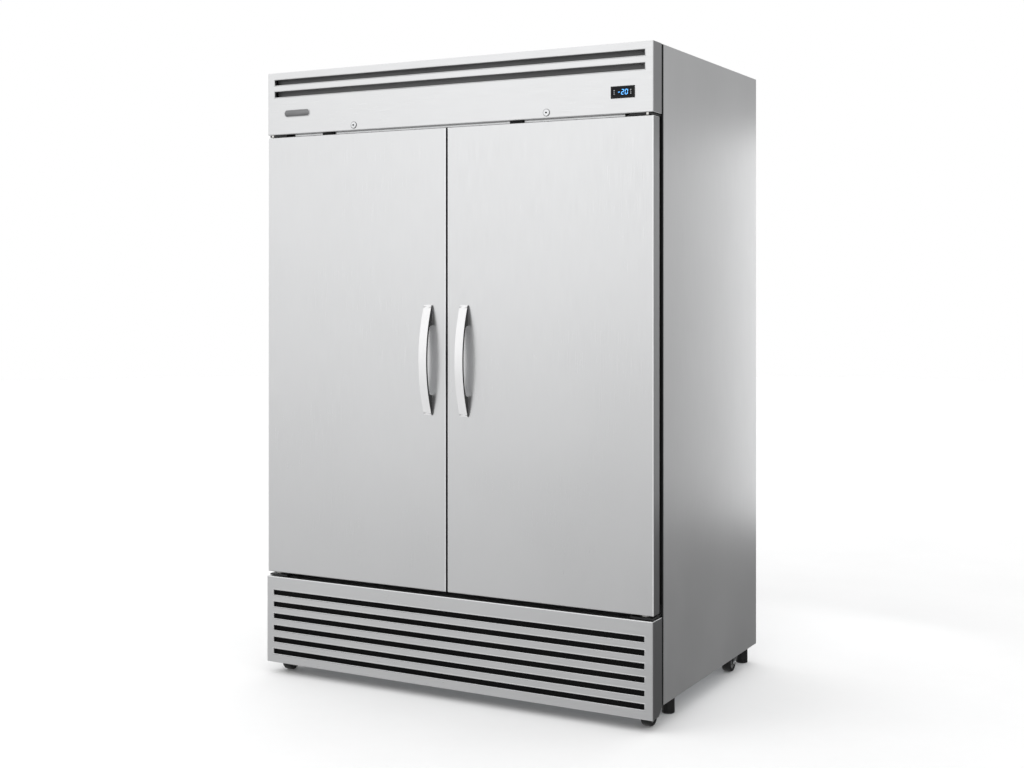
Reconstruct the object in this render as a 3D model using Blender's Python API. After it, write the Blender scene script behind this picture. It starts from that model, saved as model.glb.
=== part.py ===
"""Two-door upright stainless steel refrigerator on castors, with the machine compartment at the bottom.

Metres, +Z up. X runs across the front, the doors face -Y, and the floor is at Z = 0. The origin is the
middle of the cabinet's bounding box, on the floor.
"""

import math

import bmesh
import bpy
from mathutils import Matrix, Vector

# ---------------------------------------------------------------- driving dimensions
WIDTH = 1.397
HALF = WIDTH / 2
BODY_DEPTH = 0.904          # door face to rear panel
HANDLE_REACH = 0.038        # handle in front of the door face
GLAND_REACH = 0.016         # cord gland behind the rear panel
FRONT = (HANDLE_REACH - BODY_DEPTH - GLAND_REACH) / 2

GRILLE_BOTTOM = 0.038
GRILLE_TOP = 0.3245
DOOR_BOTTOM = 0.3386
DOOR_TOP = 1.790
HEADER_BOTTOM = 1.799
HEADER_TOP = 2.0065
SIDE_BOTTOM = 0.065
SIDE_TOP = 2.0045

GAP = 0.0003                # clearance between pieces that touch
SHEET = 0.0012              # stainless sheet
PLATE = 0.0015              # thicker folded sheet
HEAVY_PLATE = 0.005         # hinge brackets

# ---------------------------------------------------------------- cabinet
SIDE_FRONT = 0.073          # depth of the cabinet's front edge, which is also the sealing plane
SIDE_RETURN = 0.012
REAR_RETURN = 0.021
THROAT_BACK = 0.095
OPENING_HALF = 0.644
OPENING_BOTTOM = 0.395
OPENING_TOP = 1.750
FRAME_BOTTOM = 0.345
MULLION_HALF = 0.036
MULLION_BACK = 0.105
LINER_BACK = 0.8365
LINER_TOP = 1.9365
PAN_BOTTOM = 0.080
PAN_TOP = 0.083

# ---------------------------------------------------------------- doors
DOOR_GAP = 0.006            # between the two doors
DOOR_DEPTH = 0.046
DOOR_RADIUS = 0.003
HINGE_INSET = 0.034         # pivot from the cabinet's side
HINGE_DEPTH = 0.025         # pivot behind the door face
PIN_RADIUS = 0.006
PIN_HOLE_RADIUS = 0.0068
PIN_REACH = 0.0125          # pin inside the door
END_CAP = 0.0163            # foam stops this far from the door's top and bottom
GASKET_WIDTH = 0.016
GASKET_HINGE_INSET = 0.0345
GASKET_FREE_INSET = 0.012
GASKET_TOP_INSET = 0.016
GASKET_BOTTOM_INSET = 0.022
FLANGE_LAP = 0.010          # the door's inner panel over its pan's rear flange
DOOR_LINER_BACK = 0.060

HANDLE_INNER = 0.0515       # handle's edges from the cabinet's centre line
HANDLE_OUTER = 0.0795
HANDLE_MIDDLE = 1.062
HANDLE_HALF_LENGTH = 0.173
HANDLE_END_REACH = 0.005    # handle's ends in front of the door face
GRIP_HALF_LENGTH = 0.109
GRIP_THICKNESS = 0.008

# ---------------------------------------------------------------- header and grille
HEADER_DEPTH = 0.063
HEADER_FLANGE_BACK = 0.095
SLOT_INSET = 0.0265
HEADER_SLOTS = ((1.964, 1.983), (1.924, 1.944))
BEZEL_LEFT = HALF - 0.135
BEZEL_RIGHT = HALF - 0.059
BEZEL_BOTTOM = 1.8445
BEZEL_TOP = 1.880
LOCK_HEIGHT = 1.816
LOCK_RADIUS = 0.010
PLUG_RADIUS = 0.0065
CAM_LENGTH = 0.038
CAM_HALF_WIDTH = 0.006
CAM_FRONT = 0.029
CAM_BACK = 0.032
GRILLE_FRONT = -0.005
GRILLE_BACK = 0.065
GRILLE_LIP = 0.012          # bottom return of the grille
GRILLE_CHAMFER = 0.027
GRILLE_SLOT_COUNT = 6
GRILLE_SLOT_TOP = 0.280
GRILLE_SLOT_HEIGHT = 0.018
GRILLE_SLOT_PITCH = 0.0392

# ---------------------------------------------------------------- inside
SHELF_LEVELS = {"lower": 0.740, "middle": 1.085, "upper": 1.430}
SHELF_THICKNESS = 0.006
SHELF_OUTER = 0.626
SHELF_INNER = 0.012
SHELF_FRONT = 0.112
SHELF_BACK = 0.812
SHELF_RAIL = 0.010
SHELF_SLOTS = 7

EVAPORATOR_HALF = 0.500
EVAPORATOR_FRONT = 0.200
EVAPORATOR_BACK = 0.700
EVAPORATOR_BOTTOM = 1.775
EVAPORATOR_FAN_X = 0.250
EVAPORATOR_FAN_DEPTH = 0.330
FAN_RADIUS = 0.095
FAN_HOLE_RADIUS = 0.102

CONDENSER_HALF = 0.450
CONDENSER_FRONT = 0.085
CONDENSER_BACK = 0.125
CONDENSER_BOTTOM = 0.095
CONDENSER_TOP = 0.325
SHROUD_HALF = 0.150
SHROUD_BACK = 0.160
CONDENSER_FAN_HEIGHT = 0.210

COMPRESSOR_X = 0.300
COMPRESSOR_DEPTH = 0.500

GLAND_X = -0.560
GLAND_HEIGHT = 0.160
GLAND_HOLE = 0.0105

# ---------------------------------------------------------------- castors and levelling feet
CASTOR_INSET = 0.044
CASTOR_DEPTHS = {"front": 0.092, "rear": 0.772}
TRAIL = 0.022
WHEEL_RADIUS = 0.031
WHEEL_HALF_WIDTH = 0.016
AXLE_RADIUS = 0.004
AXLE_BORE = 0.0046
FORK_FRONT = 0.008          # fork in front of the axle
FORK_BACK = 0.020           # fork behind the kingpin
FOOT_DEPTHS = {"front": 0.218, "rear": 0.880}
FOOT_RADIUS = 0.020
FOOT_HEIGHT = 0.066
FOOT_ROUND = 0.003
STEM_RADIUS = 0.005
STEM_HOLE = 0.006
STEM_TOP = 0.115

SIDES = {"left": -1, "right": 1}


def depth(distance):
    """The Y of a place this far behind the door face."""
    return FRONT + distance


# ---------------------------------------------------------------- building blocks
def clear_scene():
    for item in list(bpy.data.objects):
        bpy.data.objects.remove(item, do_unlink=True)


def make_material(name, colour, roughness, metallic):
    material = bpy.data.materials.new(name)
    material.use_nodes = True
    shader = material.node_tree.nodes["Principled BSDF"]
    shader.inputs["Base Color"].default_value = (*colour, 1)
    shader.inputs["Roughness"].default_value = roughness
    shader.inputs["Metallic"].default_value = metallic
    return material


def make_object(name, shape, material):
    """A named object from a bmesh, which it frees."""
    bmesh.ops.recalc_face_normals(shape, faces=shape.faces)
    mesh = bpy.data.meshes.new(name)
    shape.to_mesh(mesh)
    shape.free()
    mesh.materials.append(material)
    item = bpy.data.objects.new(name, mesh)
    bpy.context.scene.collection.objects.link(item)
    return item


def add_box(shape, low, high):
    """A box between two corners, in X, depth behind the door face, and Z."""
    low = Vector((low[0], depth(low[1]), low[2]))
    high = Vector((high[0], depth(high[1]), high[2]))
    place = Matrix.Translation((low + high) / 2) @ Matrix.Diagonal((*(high - low), 1))
    bmesh.ops.create_cube(shape, size=1, matrix=place)


def add_cylinder(shape, centre, axis, radius, length, segments=24, turn=0):
    """A cylinder about its centre (X, depth, Z), along X, Y or Z."""
    turns = {"X": Matrix.Rotation(math.pi / 2, 4, "Y"), "Y": Matrix.Rotation(math.pi / 2, 4, "X")}
    place = Matrix.Translation((centre[0], depth(centre[1]), centre[2])) @ turns.get(axis, Matrix())
    bmesh.ops.create_cone(
        shape,
        cap_ends=True,
        segments=segments,
        radius1=radius,
        radius2=radius,
        depth=length,
        matrix=place @ Matrix.Rotation(turn, 4, "Z"),
    )


def box_object(name, low, high, material):
    shape = bmesh.new()
    add_box(shape, low, high)
    return make_object(name, shape, material)


def turned_object(name, profile, centre, axis, material, segments=32):
    """A solid of revolution from (radius, height) points; heights run along the axis from the centre."""
    shape = bmesh.new()
    points = [shape.verts.new((radius, 0, height)) for radius, height in profile]
    edges = [shape.edges.new(pair) for pair in zip(points, points[1:])]
    bmesh.ops.spin(
        shape, geom=points + edges, axis=(0, 0, 1), cent=(0, 0, 0), angle=2 * math.pi, steps=segments
    )
    bmesh.ops.remove_doubles(shape, verts=shape.verts, dist=1e-6)
    turns = {"X": Matrix.Rotation(math.pi / 2, 4, "Y"), "Y": Matrix.Rotation(math.pi / 2, 4, "X")}
    place = Matrix.Translation((centre[0], depth(centre[1]), centre[2])) @ turns.get(axis, Matrix())
    bmesh.ops.transform(shape, matrix=place, verts=shape.verts)
    return make_object(name, shape, material)


def folded_sheet(name, corners, radius, bottom, top, thickness, material):
    """A sheet folded along a plan of (X, depth) corners, standing between two heights.

    The plan's line is the sheet's outer face, and the metal lies on the line's left.
    """
    plan = rounded_line(corners, radius)
    shape = bmesh.new()
    lower = [shape.verts.new((x, depth(y), bottom)) for x, y in plan]
    upper = [shape.verts.new((x, depth(y), top)) for x, y in plan]
    for n in range(len(plan) - 1):
        shape.faces.new((lower[n], lower[n + 1], upper[n + 1], upper[n]))
    mesh = bpy.data.meshes.new(name)
    shape.to_mesh(mesh)
    shape.free()
    mesh.materials.append(material)
    item = bpy.data.objects.new(name, mesh)
    bpy.context.scene.collection.objects.link(item)
    solidify = item.modifiers.new("sheet", "SOLIDIFY")
    solidify.thickness = thickness
    solidify.offset = -1
    solidify.use_even_offset = True
    return item


def rounded_line(corners, radius, steps=3):
    """A line's points, with each inner corner turned into an arc."""
    line = [corners[0]]
    for before, corner, after in zip(corners, corners[1:], corners[2:]):
        corner = Vector(corner)
        to_before = (Vector(before) - corner).normalized()
        to_after = (Vector(after) - corner).normalized()
        reach = radius / math.tan(to_before.angle(to_after) / 2)
        start = corner + to_before * reach
        end = corner + to_after * reach
        centre = corner + (to_before + to_after).normalized() * math.hypot(radius, reach)
        first = math.atan2(start.y - centre.y, start.x - centre.x)
        sweep = math.remainder(math.atan2(end.y - centre.y, end.x - centre.x) - first, 2 * math.pi)
        for n in range(steps + 1):
            angle = first + sweep * n / steps
            line.append((centre.x + radius * math.cos(angle), centre.y + radius * math.sin(angle)))
    return line + [corners[-1]]


def bevel(item, width, segments=2, angle=30):
    modifier = item.modifiers.new("edge radius", "BEVEL")
    modifier.width = width
    modifier.segments = segments
    modifier.limit_method = "ANGLE"
    modifier.angle_limit = math.radians(angle)


def helper_object(name, shape):
    """A hidden cutter or a piece to join, from a bmesh."""
    bmesh.ops.recalc_face_normals(shape, faces=shape.faces)
    mesh = bpy.data.meshes.new(name)
    shape.to_mesh(mesh)
    shape.free()
    helper = bpy.data.objects.new(name, mesh)
    bpy.context.scene.collection.objects.link(helper)
    helper.hide_render = True
    helper.display_type = "WIRE"
    return helper


def combine(item, shape, operation):
    """A Boolean of the object with a helper made from a bmesh."""
    modifier = item.modifiers.new(operation.lower(), "BOOLEAN")
    modifier.operation = operation
    modifier.solver = "EXACT"
    modifier.object = helper_object(f"{item.name}_{operation.lower()}_{len(item.modifiers)}", shape)


def cut_boxes(item, boxes):
    shape = bmesh.new()
    for low, high in boxes:
        add_box(shape, low, high)
    combine(item, shape, "DIFFERENCE")


def cut_cylinders(item, cylinders, segments=24):
    shape = bmesh.new()
    for centre, axis, radius, length in cylinders:
        add_cylinder(shape, centre, axis, radius, length, segments)
    combine(item, shape, "DIFFERENCE")


def smooth(item, angle=35):
    item.data.shade_smooth()
    item.data.set_sharp_from_angle(angle=math.radians(angle))


def set_origin(item, x, distance, z):
    """Moves the object's origin to a place, and leaves its shape where it is."""
    place = Vector((x, depth(distance), z))
    item.data.transform(Matrix.Translation(-place))
    item.location = place


def hang_on(item, pivot):
    """Parents the object to an empty, with its origin there too."""
    item.data.transform(Matrix.Translation(-pivot.location))
    item.parent = pivot


# ---------------------------------------------------------------- materials
def make_materials():
    return {
        "stainless": make_material("stainless", (0.62, 0.63, 0.64), 0.30, 1.0),
        "liner": make_material("liner_stainless", (0.60, 0.61, 0.62), 0.38, 1.0),
        "satin": make_material("satin_stainless", (0.74, 0.74, 0.75), 0.22, 1.0),
        "galvanised": make_material("galvanised_steel", (0.50, 0.52, 0.54), 0.50, 1.0),
        "chrome": make_material("chrome", (0.78, 0.79, 0.80), 0.12, 1.0),
        "aluminium": make_material("aluminium", (0.66, 0.67, 0.68), 0.45, 1.0),
        "black_steel": make_material("black_steel", (0.03, 0.03, 0.03), 0.45, 0.0),
        "black_plastic": make_material("black_plastic", (0.02, 0.02, 0.022), 0.40, 0.0),
        "rubber": make_material("rubber", (0.02, 0.02, 0.02), 0.75, 0.0),
        "tread": make_material("castor_tread", (0.025, 0.025, 0.025), 0.65, 0.0),
        "foam": make_material("foam", (0.80, 0.68, 0.42), 0.90, 0.0),
        "lens": make_material("display_lens", (0.01, 0.01, 0.015), 0.10, 0.0),
    }


# ---------------------------------------------------------------- outer cabinet
def build_side_panel(side, sign, materials):
    """An outer side, folded in at its front and rear edges."""
    edge = sign * HALF
    plan = [
        (edge - sign * SIDE_RETURN, SIDE_FRONT),
        (edge, SIDE_FRONT),
        (edge, BODY_DEPTH),
        (edge - sign * REAR_RETURN, BODY_DEPTH),
    ]
    if sign < 0:
        plan.reverse()
    name = f"{side}_side_panel"
    panel = folded_sheet(name, plan, 0.0025, SIDE_BOTTOM, SIDE_TOP, SHEET, materials["stainless"])
    smooth(panel)


def build_cabinet_shell(materials):
    """The top, rear, machine deck and base pan, which close the box between the two sides."""
    inner = HALF - SHEET - GAP
    front = SIDE_FRONT + PLATE + GAP
    back = BODY_DEPTH - SHEET - 2 * GAP
    rear_half = HALF - REAR_RETURN - GAP
    steel = materials["galvanised"]
    box_object(
        "top_panel", (-inner, front, SIDE_TOP - SHEET), (inner, back, SIDE_TOP), materials["stainless"]
    )
    box_object(
        "rear_panel",
        (-rear_half, BODY_DEPTH - SHEET, FRAME_BOTTOM),
        (rear_half, BODY_DEPTH, SIDE_TOP),
        steel,
    )
    deck_bottom = FRAME_BOTTOM + 0.0005
    box_object(
        "machine_deck",
        (-inner, THROAT_BACK + GAP, deck_bottom),
        (inner, back, deck_bottom + PLATE),
        steel,
    )
    pan = box_object("base_pan", (-inner, front, PAN_BOTTOM), (inner, back, PAN_TOP), steel)
    holes = []
    for sign in SIDES.values():
        for distance in FOOT_DEPTHS.values():
            centre = (sign * (HALF - CASTOR_INSET), distance, PAN_BOTTOM)
            holes.append((centre, "Z", STEM_HOLE, 0.02))
    cut_cylinders(pan, holes, segments=12)


def build_rear_vent(materials):
    """The machine compartment's rear cover, with two banks of slots and the gland's hole."""
    half = HALF - REAR_RETURN - GAP
    cover = box_object(
        "rear_vent_panel",
        (-half, BODY_DEPTH - SHEET, SIDE_BOTTOM + 0.005),
        (half, BODY_DEPTH, FRAME_BOTTOM - GAP),
        materials["galvanised"],
    )
    slots = []
    for centre in (-0.25, 0.25):
        for n in range(6):
            bottom = 0.120 + n * 0.032
            slots.append(((centre - 0.20, 0.89, bottom), (centre + 0.20, 0.92, bottom + 0.012)))
    cut_boxes(cover, slots)
    cut_cylinders(cover, [((GLAND_X, BODY_DEPTH, GLAND_HEIGHT), "Y", GLAND_HOLE, 0.03)])


def build_cord_gland(materials):
    """The gland where a mains cord enters, a nut and dome outside and a collar in the cover's hole."""
    profile = [
        (0.005, -GLAND_REACH),
        (0.009, -GLAND_REACH),
        (0.012, -GLAND_REACH + 0.004),
        (0.014, -0.006),
        (0.014, -GAP),
        (0.010, -GAP),
        (0.010, 0.012),
        (0.005, 0.012),
        (0.005, -GLAND_REACH),
    ]
    turned_object(
        "cord_gland",
        profile,
        (GLAND_X, BODY_DEPTH, GLAND_HEIGHT),
        "Y",
        materials["black_plastic"],
        segments=16,
    )


def build_insulation(materials):
    """Foam between the outer panels and the inner liner, open at the front."""
    half = HALF - SHEET - GAP
    foam = box_object(
        "foam_insulation",
        (-half, SIDE_FRONT + PLATE + GAP, FRAME_BOTTOM + 0.0005 + PLATE + GAP),
        (half, BODY_DEPTH - SHEET - 3 * GAP, SIDE_TOP - SHEET - GAP),
        materials["foam"],
    )
    skirt = PLATE + GAP
    cut_boxes(
        foam,
        [
            (
                (-OPENING_HALF - skirt, 0.05, OPENING_BOTTOM - skirt),
                (OPENING_HALF + skirt, THROAT_BACK + 0.01, OPENING_TOP + skirt),
            )
        ],
    )
    cut_boxes(
        foam,
        [
            (
                (-OPENING_HALF - skirt, THROAT_BACK, OPENING_BOTTOM - skirt),
                (OPENING_HALF + skirt, LINER_BACK + GAP, LINER_TOP + GAP),
            )
        ],
    )


def build_inner_liner(materials):
    """The inside tub: its floor is one sheet, and its back, sides, ceiling and front strip are another."""
    half = OPENING_HALF + PLATE
    front = THROAT_BACK + GAP
    floor_bottom = OPENING_BOTTOM - PLATE
    floor_top = floor_bottom + SHEET
    box_object(
        "liner_floor",
        (-half, front, floor_bottom),
        (half, LINER_BACK, floor_top),
        materials["liner"],
    )
    liner = box_object(
        "inner_liner",
        (-half, front, floor_top + GAP),
        (half, LINER_BACK, LINER_TOP),
        materials["liner"],
    )
    cut_boxes(
        liner,
        [
            (
                (-half + SHEET, front + SHEET, floor_bottom),
                (half - SHEET, LINER_BACK - SHEET, LINER_TOP - SHEET),
            )
        ],
    )
    cut_boxes(
        liner,
        [((-half + SHEET, front - 0.01, floor_bottom), (half - SHEET, front + 0.02, OPENING_TOP))],
    )


def build_face_frame(materials):
    """The front frame that the doors seal on, with a throat folded back round the doorway."""
    outer = HALF - SIDE_RETURN - GAP
    frame = box_object(
        "face_frame",
        (-outer, SIDE_FRONT, FRAME_BOTTOM),
        (outer, SIDE_FRONT + PLATE, SIDE_TOP - SHEET - GAP),
        materials["stainless"],
    )
    throat = bmesh.new()
    add_box(
        throat,
        (-OPENING_HALF - PLATE, SIDE_FRONT + PLATE / 2, OPENING_BOTTOM - PLATE),
        (OPENING_HALF + PLATE, THROAT_BACK, OPENING_TOP + PLATE),
    )
    combine(frame, throat, "UNION")
    cut_boxes(
        frame,
        [((-OPENING_HALF, 0.05, OPENING_BOTTOM), (OPENING_HALF, 0.11, OPENING_TOP))],
    )


def build_mullion(materials):
    """The post between the two doorways, which both doors close against."""
    plan = [
        (-MULLION_HALF, MULLION_BACK),
        (-MULLION_HALF, SIDE_FRONT),
        (MULLION_HALF, SIDE_FRONT),
        (MULLION_HALF, MULLION_BACK),
    ]
    post = folded_sheet(
        "centre_mullion",
        plan,
        0.0025,
        OPENING_BOTTOM + GAP,
        OPENING_TOP - GAP,
        PLATE,
        materials["stainless"],
    )
    smooth(post)


# ---------------------------------------------------------------- header
def build_header(materials):
    """The front cover over the doors: a tray open at the back, with two long slots."""
    header = box_object(
        "header_panel",
        (-HALF, 0, HEADER_BOTTOM),
        (HALF, HEADER_DEPTH, HEADER_TOP),
        materials["stainless"],
    )
    bevel(header, 0.0025, segments=3)
    slots = []
    for bottom, top in HEADER_SLOTS:
        slots.append(((-HALF + SLOT_INSET, -0.01, bottom), (HALF - SLOT_INSET, 0.01, top)))
    slots.append(
        ((BEZEL_LEFT + 0.003, -0.01, BEZEL_BOTTOM + 0.003), (BEZEL_RIGHT - 0.003, 0.01, BEZEL_TOP - 0.003))
    )
    for sign in SIDES.values():
        lock_x = sign * lock_offset()
        slots.append(((lock_x - 0.012, 0.022, 1.79), (lock_x + CAM_LENGTH + 0.004, 0.040, 1.803)))
    cut_boxes(
        header,
        [
            (
                (-HALF + SHEET, SHEET, HEADER_BOTTOM + SHEET),
                (HALF - SHEET, HEADER_DEPTH + 0.01, HEADER_TOP - SHEET),
            )
        ],
    )
    cut_boxes(header, slots)
    holes = []
    for sign in SIDES.values():
        holes.append(((sign * lock_offset(), 0, LOCK_HEIGHT), "Y", LOCK_RADIUS - 0.001, 0.03))
    cut_cylinders(header, holes)
    flange = bmesh.new()
    add_box(
        flange,
        (-HALF + 0.005, HEADER_DEPTH - 0.010, HEADER_TOP - SHEET),
        (HALF - 0.005, HEADER_FLANGE_BACK, HEADER_TOP),
    )
    combine(header, flange, "UNION")
    smooth(header)


def build_controller(materials):
    """The temperature controller's bezel and the lens in its front."""
    bezel = box_object(
        "controller_bezel",
        (BEZEL_LEFT, -0.003, BEZEL_BOTTOM),
        (BEZEL_RIGHT, -GAP, BEZEL_TOP),
        materials["black_plastic"],
    )
    bevel(bezel, 0.001, segments=2)
    body = bmesh.new()
    add_box(
        body,
        (BEZEL_LEFT + 0.0035, -0.001, BEZEL_BOTTOM + 0.0035),
        (BEZEL_RIGHT - 0.0035, 0.045, BEZEL_TOP - 0.0035),
    )
    combine(bezel, body, "UNION")
    recess = 0.0045
    cut_boxes(
        bezel,
        [
            (
                (BEZEL_LEFT + recess, -0.01, BEZEL_BOTTOM + recess),
                (BEZEL_RIGHT - recess, -0.0012, BEZEL_TOP - recess),
            )
        ],
    )
    edge = recess + GAP
    box_object(
        "display_lens",
        (BEZEL_LEFT + edge, -0.0026, BEZEL_BOTTOM + edge),
        (BEZEL_RIGHT - edge, -0.0012 - GAP, BEZEL_TOP - edge),
        materials["lens"],
    )


def lock_offset():
    """The locks sit over the middle of each door."""
    return (HALF + DOOR_GAP / 2) / 2


def build_lock(side, sign, materials):
    """A cam lock: a barrel fixed in the header, and a plug that turns in it and carries the cam."""
    x = sign * lock_offset()
    barrel_profile = [
        (PLUG_RADIUS + 0.0005, -0.003),
        (LOCK_RADIUS - 0.001, -0.003),
        (LOCK_RADIUS, -0.002),
        (LOCK_RADIUS, -GAP),
        (LOCK_RADIUS - 0.0014, -GAP),
        (LOCK_RADIUS - 0.0014, 0.026),
        (PLUG_RADIUS + 0.0005, 0.026),
        (PLUG_RADIUS + 0.0005, -0.003),
    ]
    barrel = turned_object(
        f"{side}_lock_barrel",
        [(radius, -height) for radius, height in barrel_profile],
        (x, 0, LOCK_HEIGHT),
        "Y",
        materials["chrome"],
        segments=20,
    )
    smooth(barrel)
    shape = bmesh.new()
    add_cylinder(shape, (x, 0.0145, LOCK_HEIGHT), "Y", PLUG_RADIUS, 0.035)
    plug = make_object(f"{side}_lock_plug", shape, materials["chrome"])
    cam = bmesh.new()
    add_box(
        cam,
        (x - CAM_HALF_WIDTH, CAM_FRONT, LOCK_HEIGHT - CAM_HALF_WIDTH),
        (x + CAM_LENGTH, CAM_BACK, LOCK_HEIGHT + CAM_HALF_WIDTH),
    )
    combine(plug, cam, "UNION")
    cut_boxes(plug, [((x - 0.0035, -0.01, LOCK_HEIGHT - 0.0006), (x + 0.0035, 0.001, LOCK_HEIGHT + 0.0006))])
    set_origin(plug, x, 0, LOCK_HEIGHT)
    smooth(plug)


# ---------------------------------------------------------------- doors
def door_span(sign, outer_inset=0.0, free_inset=0.0):
    """A door's X limits, lowest first, less an inset at its hinged and at its free edge."""
    hinged = sign * (HALF - outer_inset)
    free = sign * (DOOR_GAP / 2 + free_inset)
    return min(hinged, free), max(hinged, free)


def build_door_skin(side, sign, pivot, materials):
    """The door's outer pan, with a flange round its open back, and holes for the pins and the cam."""
    low, high = door_span(sign)
    skin = box_object(
        f"{side}_door_skin", (low, 0, DOOR_BOTTOM), (high, DOOR_DEPTH, DOOR_TOP), materials["stainless"]
    )
    bevel(skin, DOOR_RADIUS, segments=3)
    cut_boxes(
        skin,
        [
            (
                (low + SHEET, SHEET, DOOR_BOTTOM + SHEET),
                (high - SHEET, DOOR_DEPTH - SHEET, DOOR_TOP - SHEET),
            )
        ],
    )
    ring_low, ring_high = door_span(
        sign,
        GASKET_HINGE_INSET + GASKET_WIDTH + FLANGE_LAP,
        GASKET_FREE_INSET + GASKET_WIDTH + FLANGE_LAP,
    )
    bottom = DOOR_BOTTOM + GASKET_BOTTOM_INSET + GASKET_WIDTH + FLANGE_LAP
    top = DOOR_TOP - GASKET_TOP_INSET - GASKET_WIDTH - FLANGE_LAP
    lock_x = sign * lock_offset()
    cut_boxes(
        skin,
        [
            ((ring_low, 0.04, bottom), (ring_high, 0.06, top)),
            ((lock_x - 0.010, 0.024, DOOR_TOP - 0.004), (lock_x + CAM_LENGTH, 0.038, DOOR_TOP + 0.01)),
        ],
    )
    pin_x = sign * (HALF - HINGE_INSET)
    cut_cylinders(
        skin,
        [
            ((pin_x, HINGE_DEPTH, DOOR_TOP), "Z", PIN_HOLE_RADIUS, 0.01),
            ((pin_x, HINGE_DEPTH, DOOR_BOTTOM), "Z", PIN_HOLE_RADIUS, 0.01),
        ],
        segments=16,
    )
    smooth(skin)
    hang_on(skin, pivot)


def build_door_inside(side, sign, pivot, materials):
    """The door's foam, its inner panel and the magnetic gasket."""
    low, high = door_span(sign)
    margin = SHEET + GAP
    foam = box_object(
        f"{side}_door_foam",
        (low + margin, margin, DOOR_BOTTOM + END_CAP),
        (high - margin, DOOR_DEPTH - margin, DOOR_TOP - END_CAP),
        materials["foam"],
    )
    hang_on(foam, pivot)

    outer_low, outer_high = door_span(sign, GASKET_HINGE_INSET, GASKET_FREE_INSET)
    bottom = DOOR_BOTTOM + GASKET_BOTTOM_INSET
    top = DOOR_TOP - GASKET_TOP_INSET
    gasket = box_object(
        f"{side}_door_gasket",
        (outer_low, DOOR_DEPTH + GAP, bottom),
        (outer_high, SIDE_FRONT - GAP, top),
        materials["rubber"],
    )
    bevel(gasket, 0.003, segments=2)
    inner = (
        (outer_low + GASKET_WIDTH, 0.03, bottom + GASKET_WIDTH),
        (outer_high - GASKET_WIDTH, 0.09, top - GASKET_WIDTH),
    )
    cut_boxes(gasket, [inner])
    smooth(gasket)
    hang_on(gasket, pivot)

    liner = box_object(
        f"{side}_door_liner",
        (inner[0][0] + GAP, DOOR_DEPTH + GAP, inner[0][2] + GAP),
        (inner[1][0] - GAP, DOOR_LINER_BACK, inner[1][2] - GAP),
        materials["liner"],
    )
    bevel(liner, 0.004, segments=2)
    smooth(liner)
    hang_on(liner, pivot)


def arc_depth(height, half_length, rise):
    """How far an arc stands in front of its chord, at a height from its middle."""
    radius = (half_length**2 + rise**2) / (2 * rise)
    return math.sqrt(radius**2 - height**2) - (radius - rise)


def build_handle(side, sign, pivot, materials):
    """An arched strip on two solid feet, with a finger gap behind its middle."""
    steps = 14
    rise = HANDLE_REACH - HANDLE_END_REACH
    outline = [(-GAP, -HANDLE_HALF_LENGTH)]
    for n in range(steps + 1):
        height = HANDLE_HALF_LENGTH * (2 * n / steps - 1)
        outline.append((-HANDLE_END_REACH - arc_depth(height, HANDLE_HALF_LENGTH, rise), height))
    outline += [(-GAP, HANDLE_HALF_LENGTH), (-GAP, GRIP_HALF_LENGTH)]
    for n in range(steps + 1):
        height = GRIP_HALF_LENGTH * (1 - 2 * n / steps)
        reach = HANDLE_END_REACH + arc_depth(height, HANDLE_HALF_LENGTH, rise)
        outline.append((GRIP_THICKNESS - reach, height))
    outline.append((-GAP, -GRIP_HALF_LENGTH))
    shape = bmesh.new()
    inner_edge = sign * HANDLE_INNER
    outer_edge = sign * HANDLE_OUTER
    ring = [shape.verts.new((inner_edge, depth(y), HANDLE_MIDDLE + z)) for y, z in outline]
    face = shape.faces.new(ring)
    swept = bmesh.ops.extrude_face_region(shape, geom=[face])
    moved = [item for item in swept["geom"] if isinstance(item, bmesh.types.BMVert)]
    bmesh.ops.translate(shape, vec=(outer_edge - inner_edge, 0, 0), verts=moved)
    handle = make_object(f"{side}_door_handle", shape, materials["satin"])
    bevel(handle, 0.002, segments=2, angle=50)
    smooth(handle)
    hang_on(handle, pivot)


def build_hinges(side, sign, materials):
    """The brackets in the gaps over and under a door, each with the pin that the door turns on."""
    edge = sign * HALF
    low = min(edge - sign * 0.006, edge - sign * 0.075)
    high = max(edge - sign * 0.006, edge - sign * 0.075)
    pin_x = edge - sign * HINGE_INSET
    back = SIDE_FRONT - GAP

    plate_bottom = DOOR_TOP + 0.0025
    upper = box_object(
        f"{side}_top_hinge",
        (low, 0.004, plate_bottom),
        (high, back, plate_bottom + HEAVY_PLATE),
        materials["chrome"],
    )
    pin = bmesh.new()
    length = plate_bottom - DOOR_TOP + PIN_REACH + 0.001
    centre = plate_bottom + 0.001 - length / 2
    add_cylinder(pin, (pin_x, HINGE_DEPTH, centre), "Z", PIN_RADIUS, length, segments=16)
    combine(upper, pin, "UNION")
    smooth(upper)

    plate_bottom = GRILLE_TOP + 0.002
    lower = box_object(
        f"{side}_bottom_hinge",
        (low, 0.004, plate_bottom),
        (high, back, plate_bottom + HEAVY_PLATE),
        materials["black_steel"],
    )
    upright = bmesh.new()
    add_box(upright, (low, back - 0.003, plate_bottom + 0.001), (high, back, DOOR_BOTTOM + 0.020))
    combine(lower, upright, "UNION")
    pin = bmesh.new()
    top = DOOR_BOTTOM + PIN_REACH
    bottom = plate_bottom + HEAVY_PLATE - 0.001
    centre = (pin_x, HINGE_DEPTH, (top + bottom) / 2)
    add_cylinder(pin, centre, "Z", PIN_RADIUS, top - bottom, segments=16)
    combine(lower, pin, "UNION")
    smooth(lower)


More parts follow.
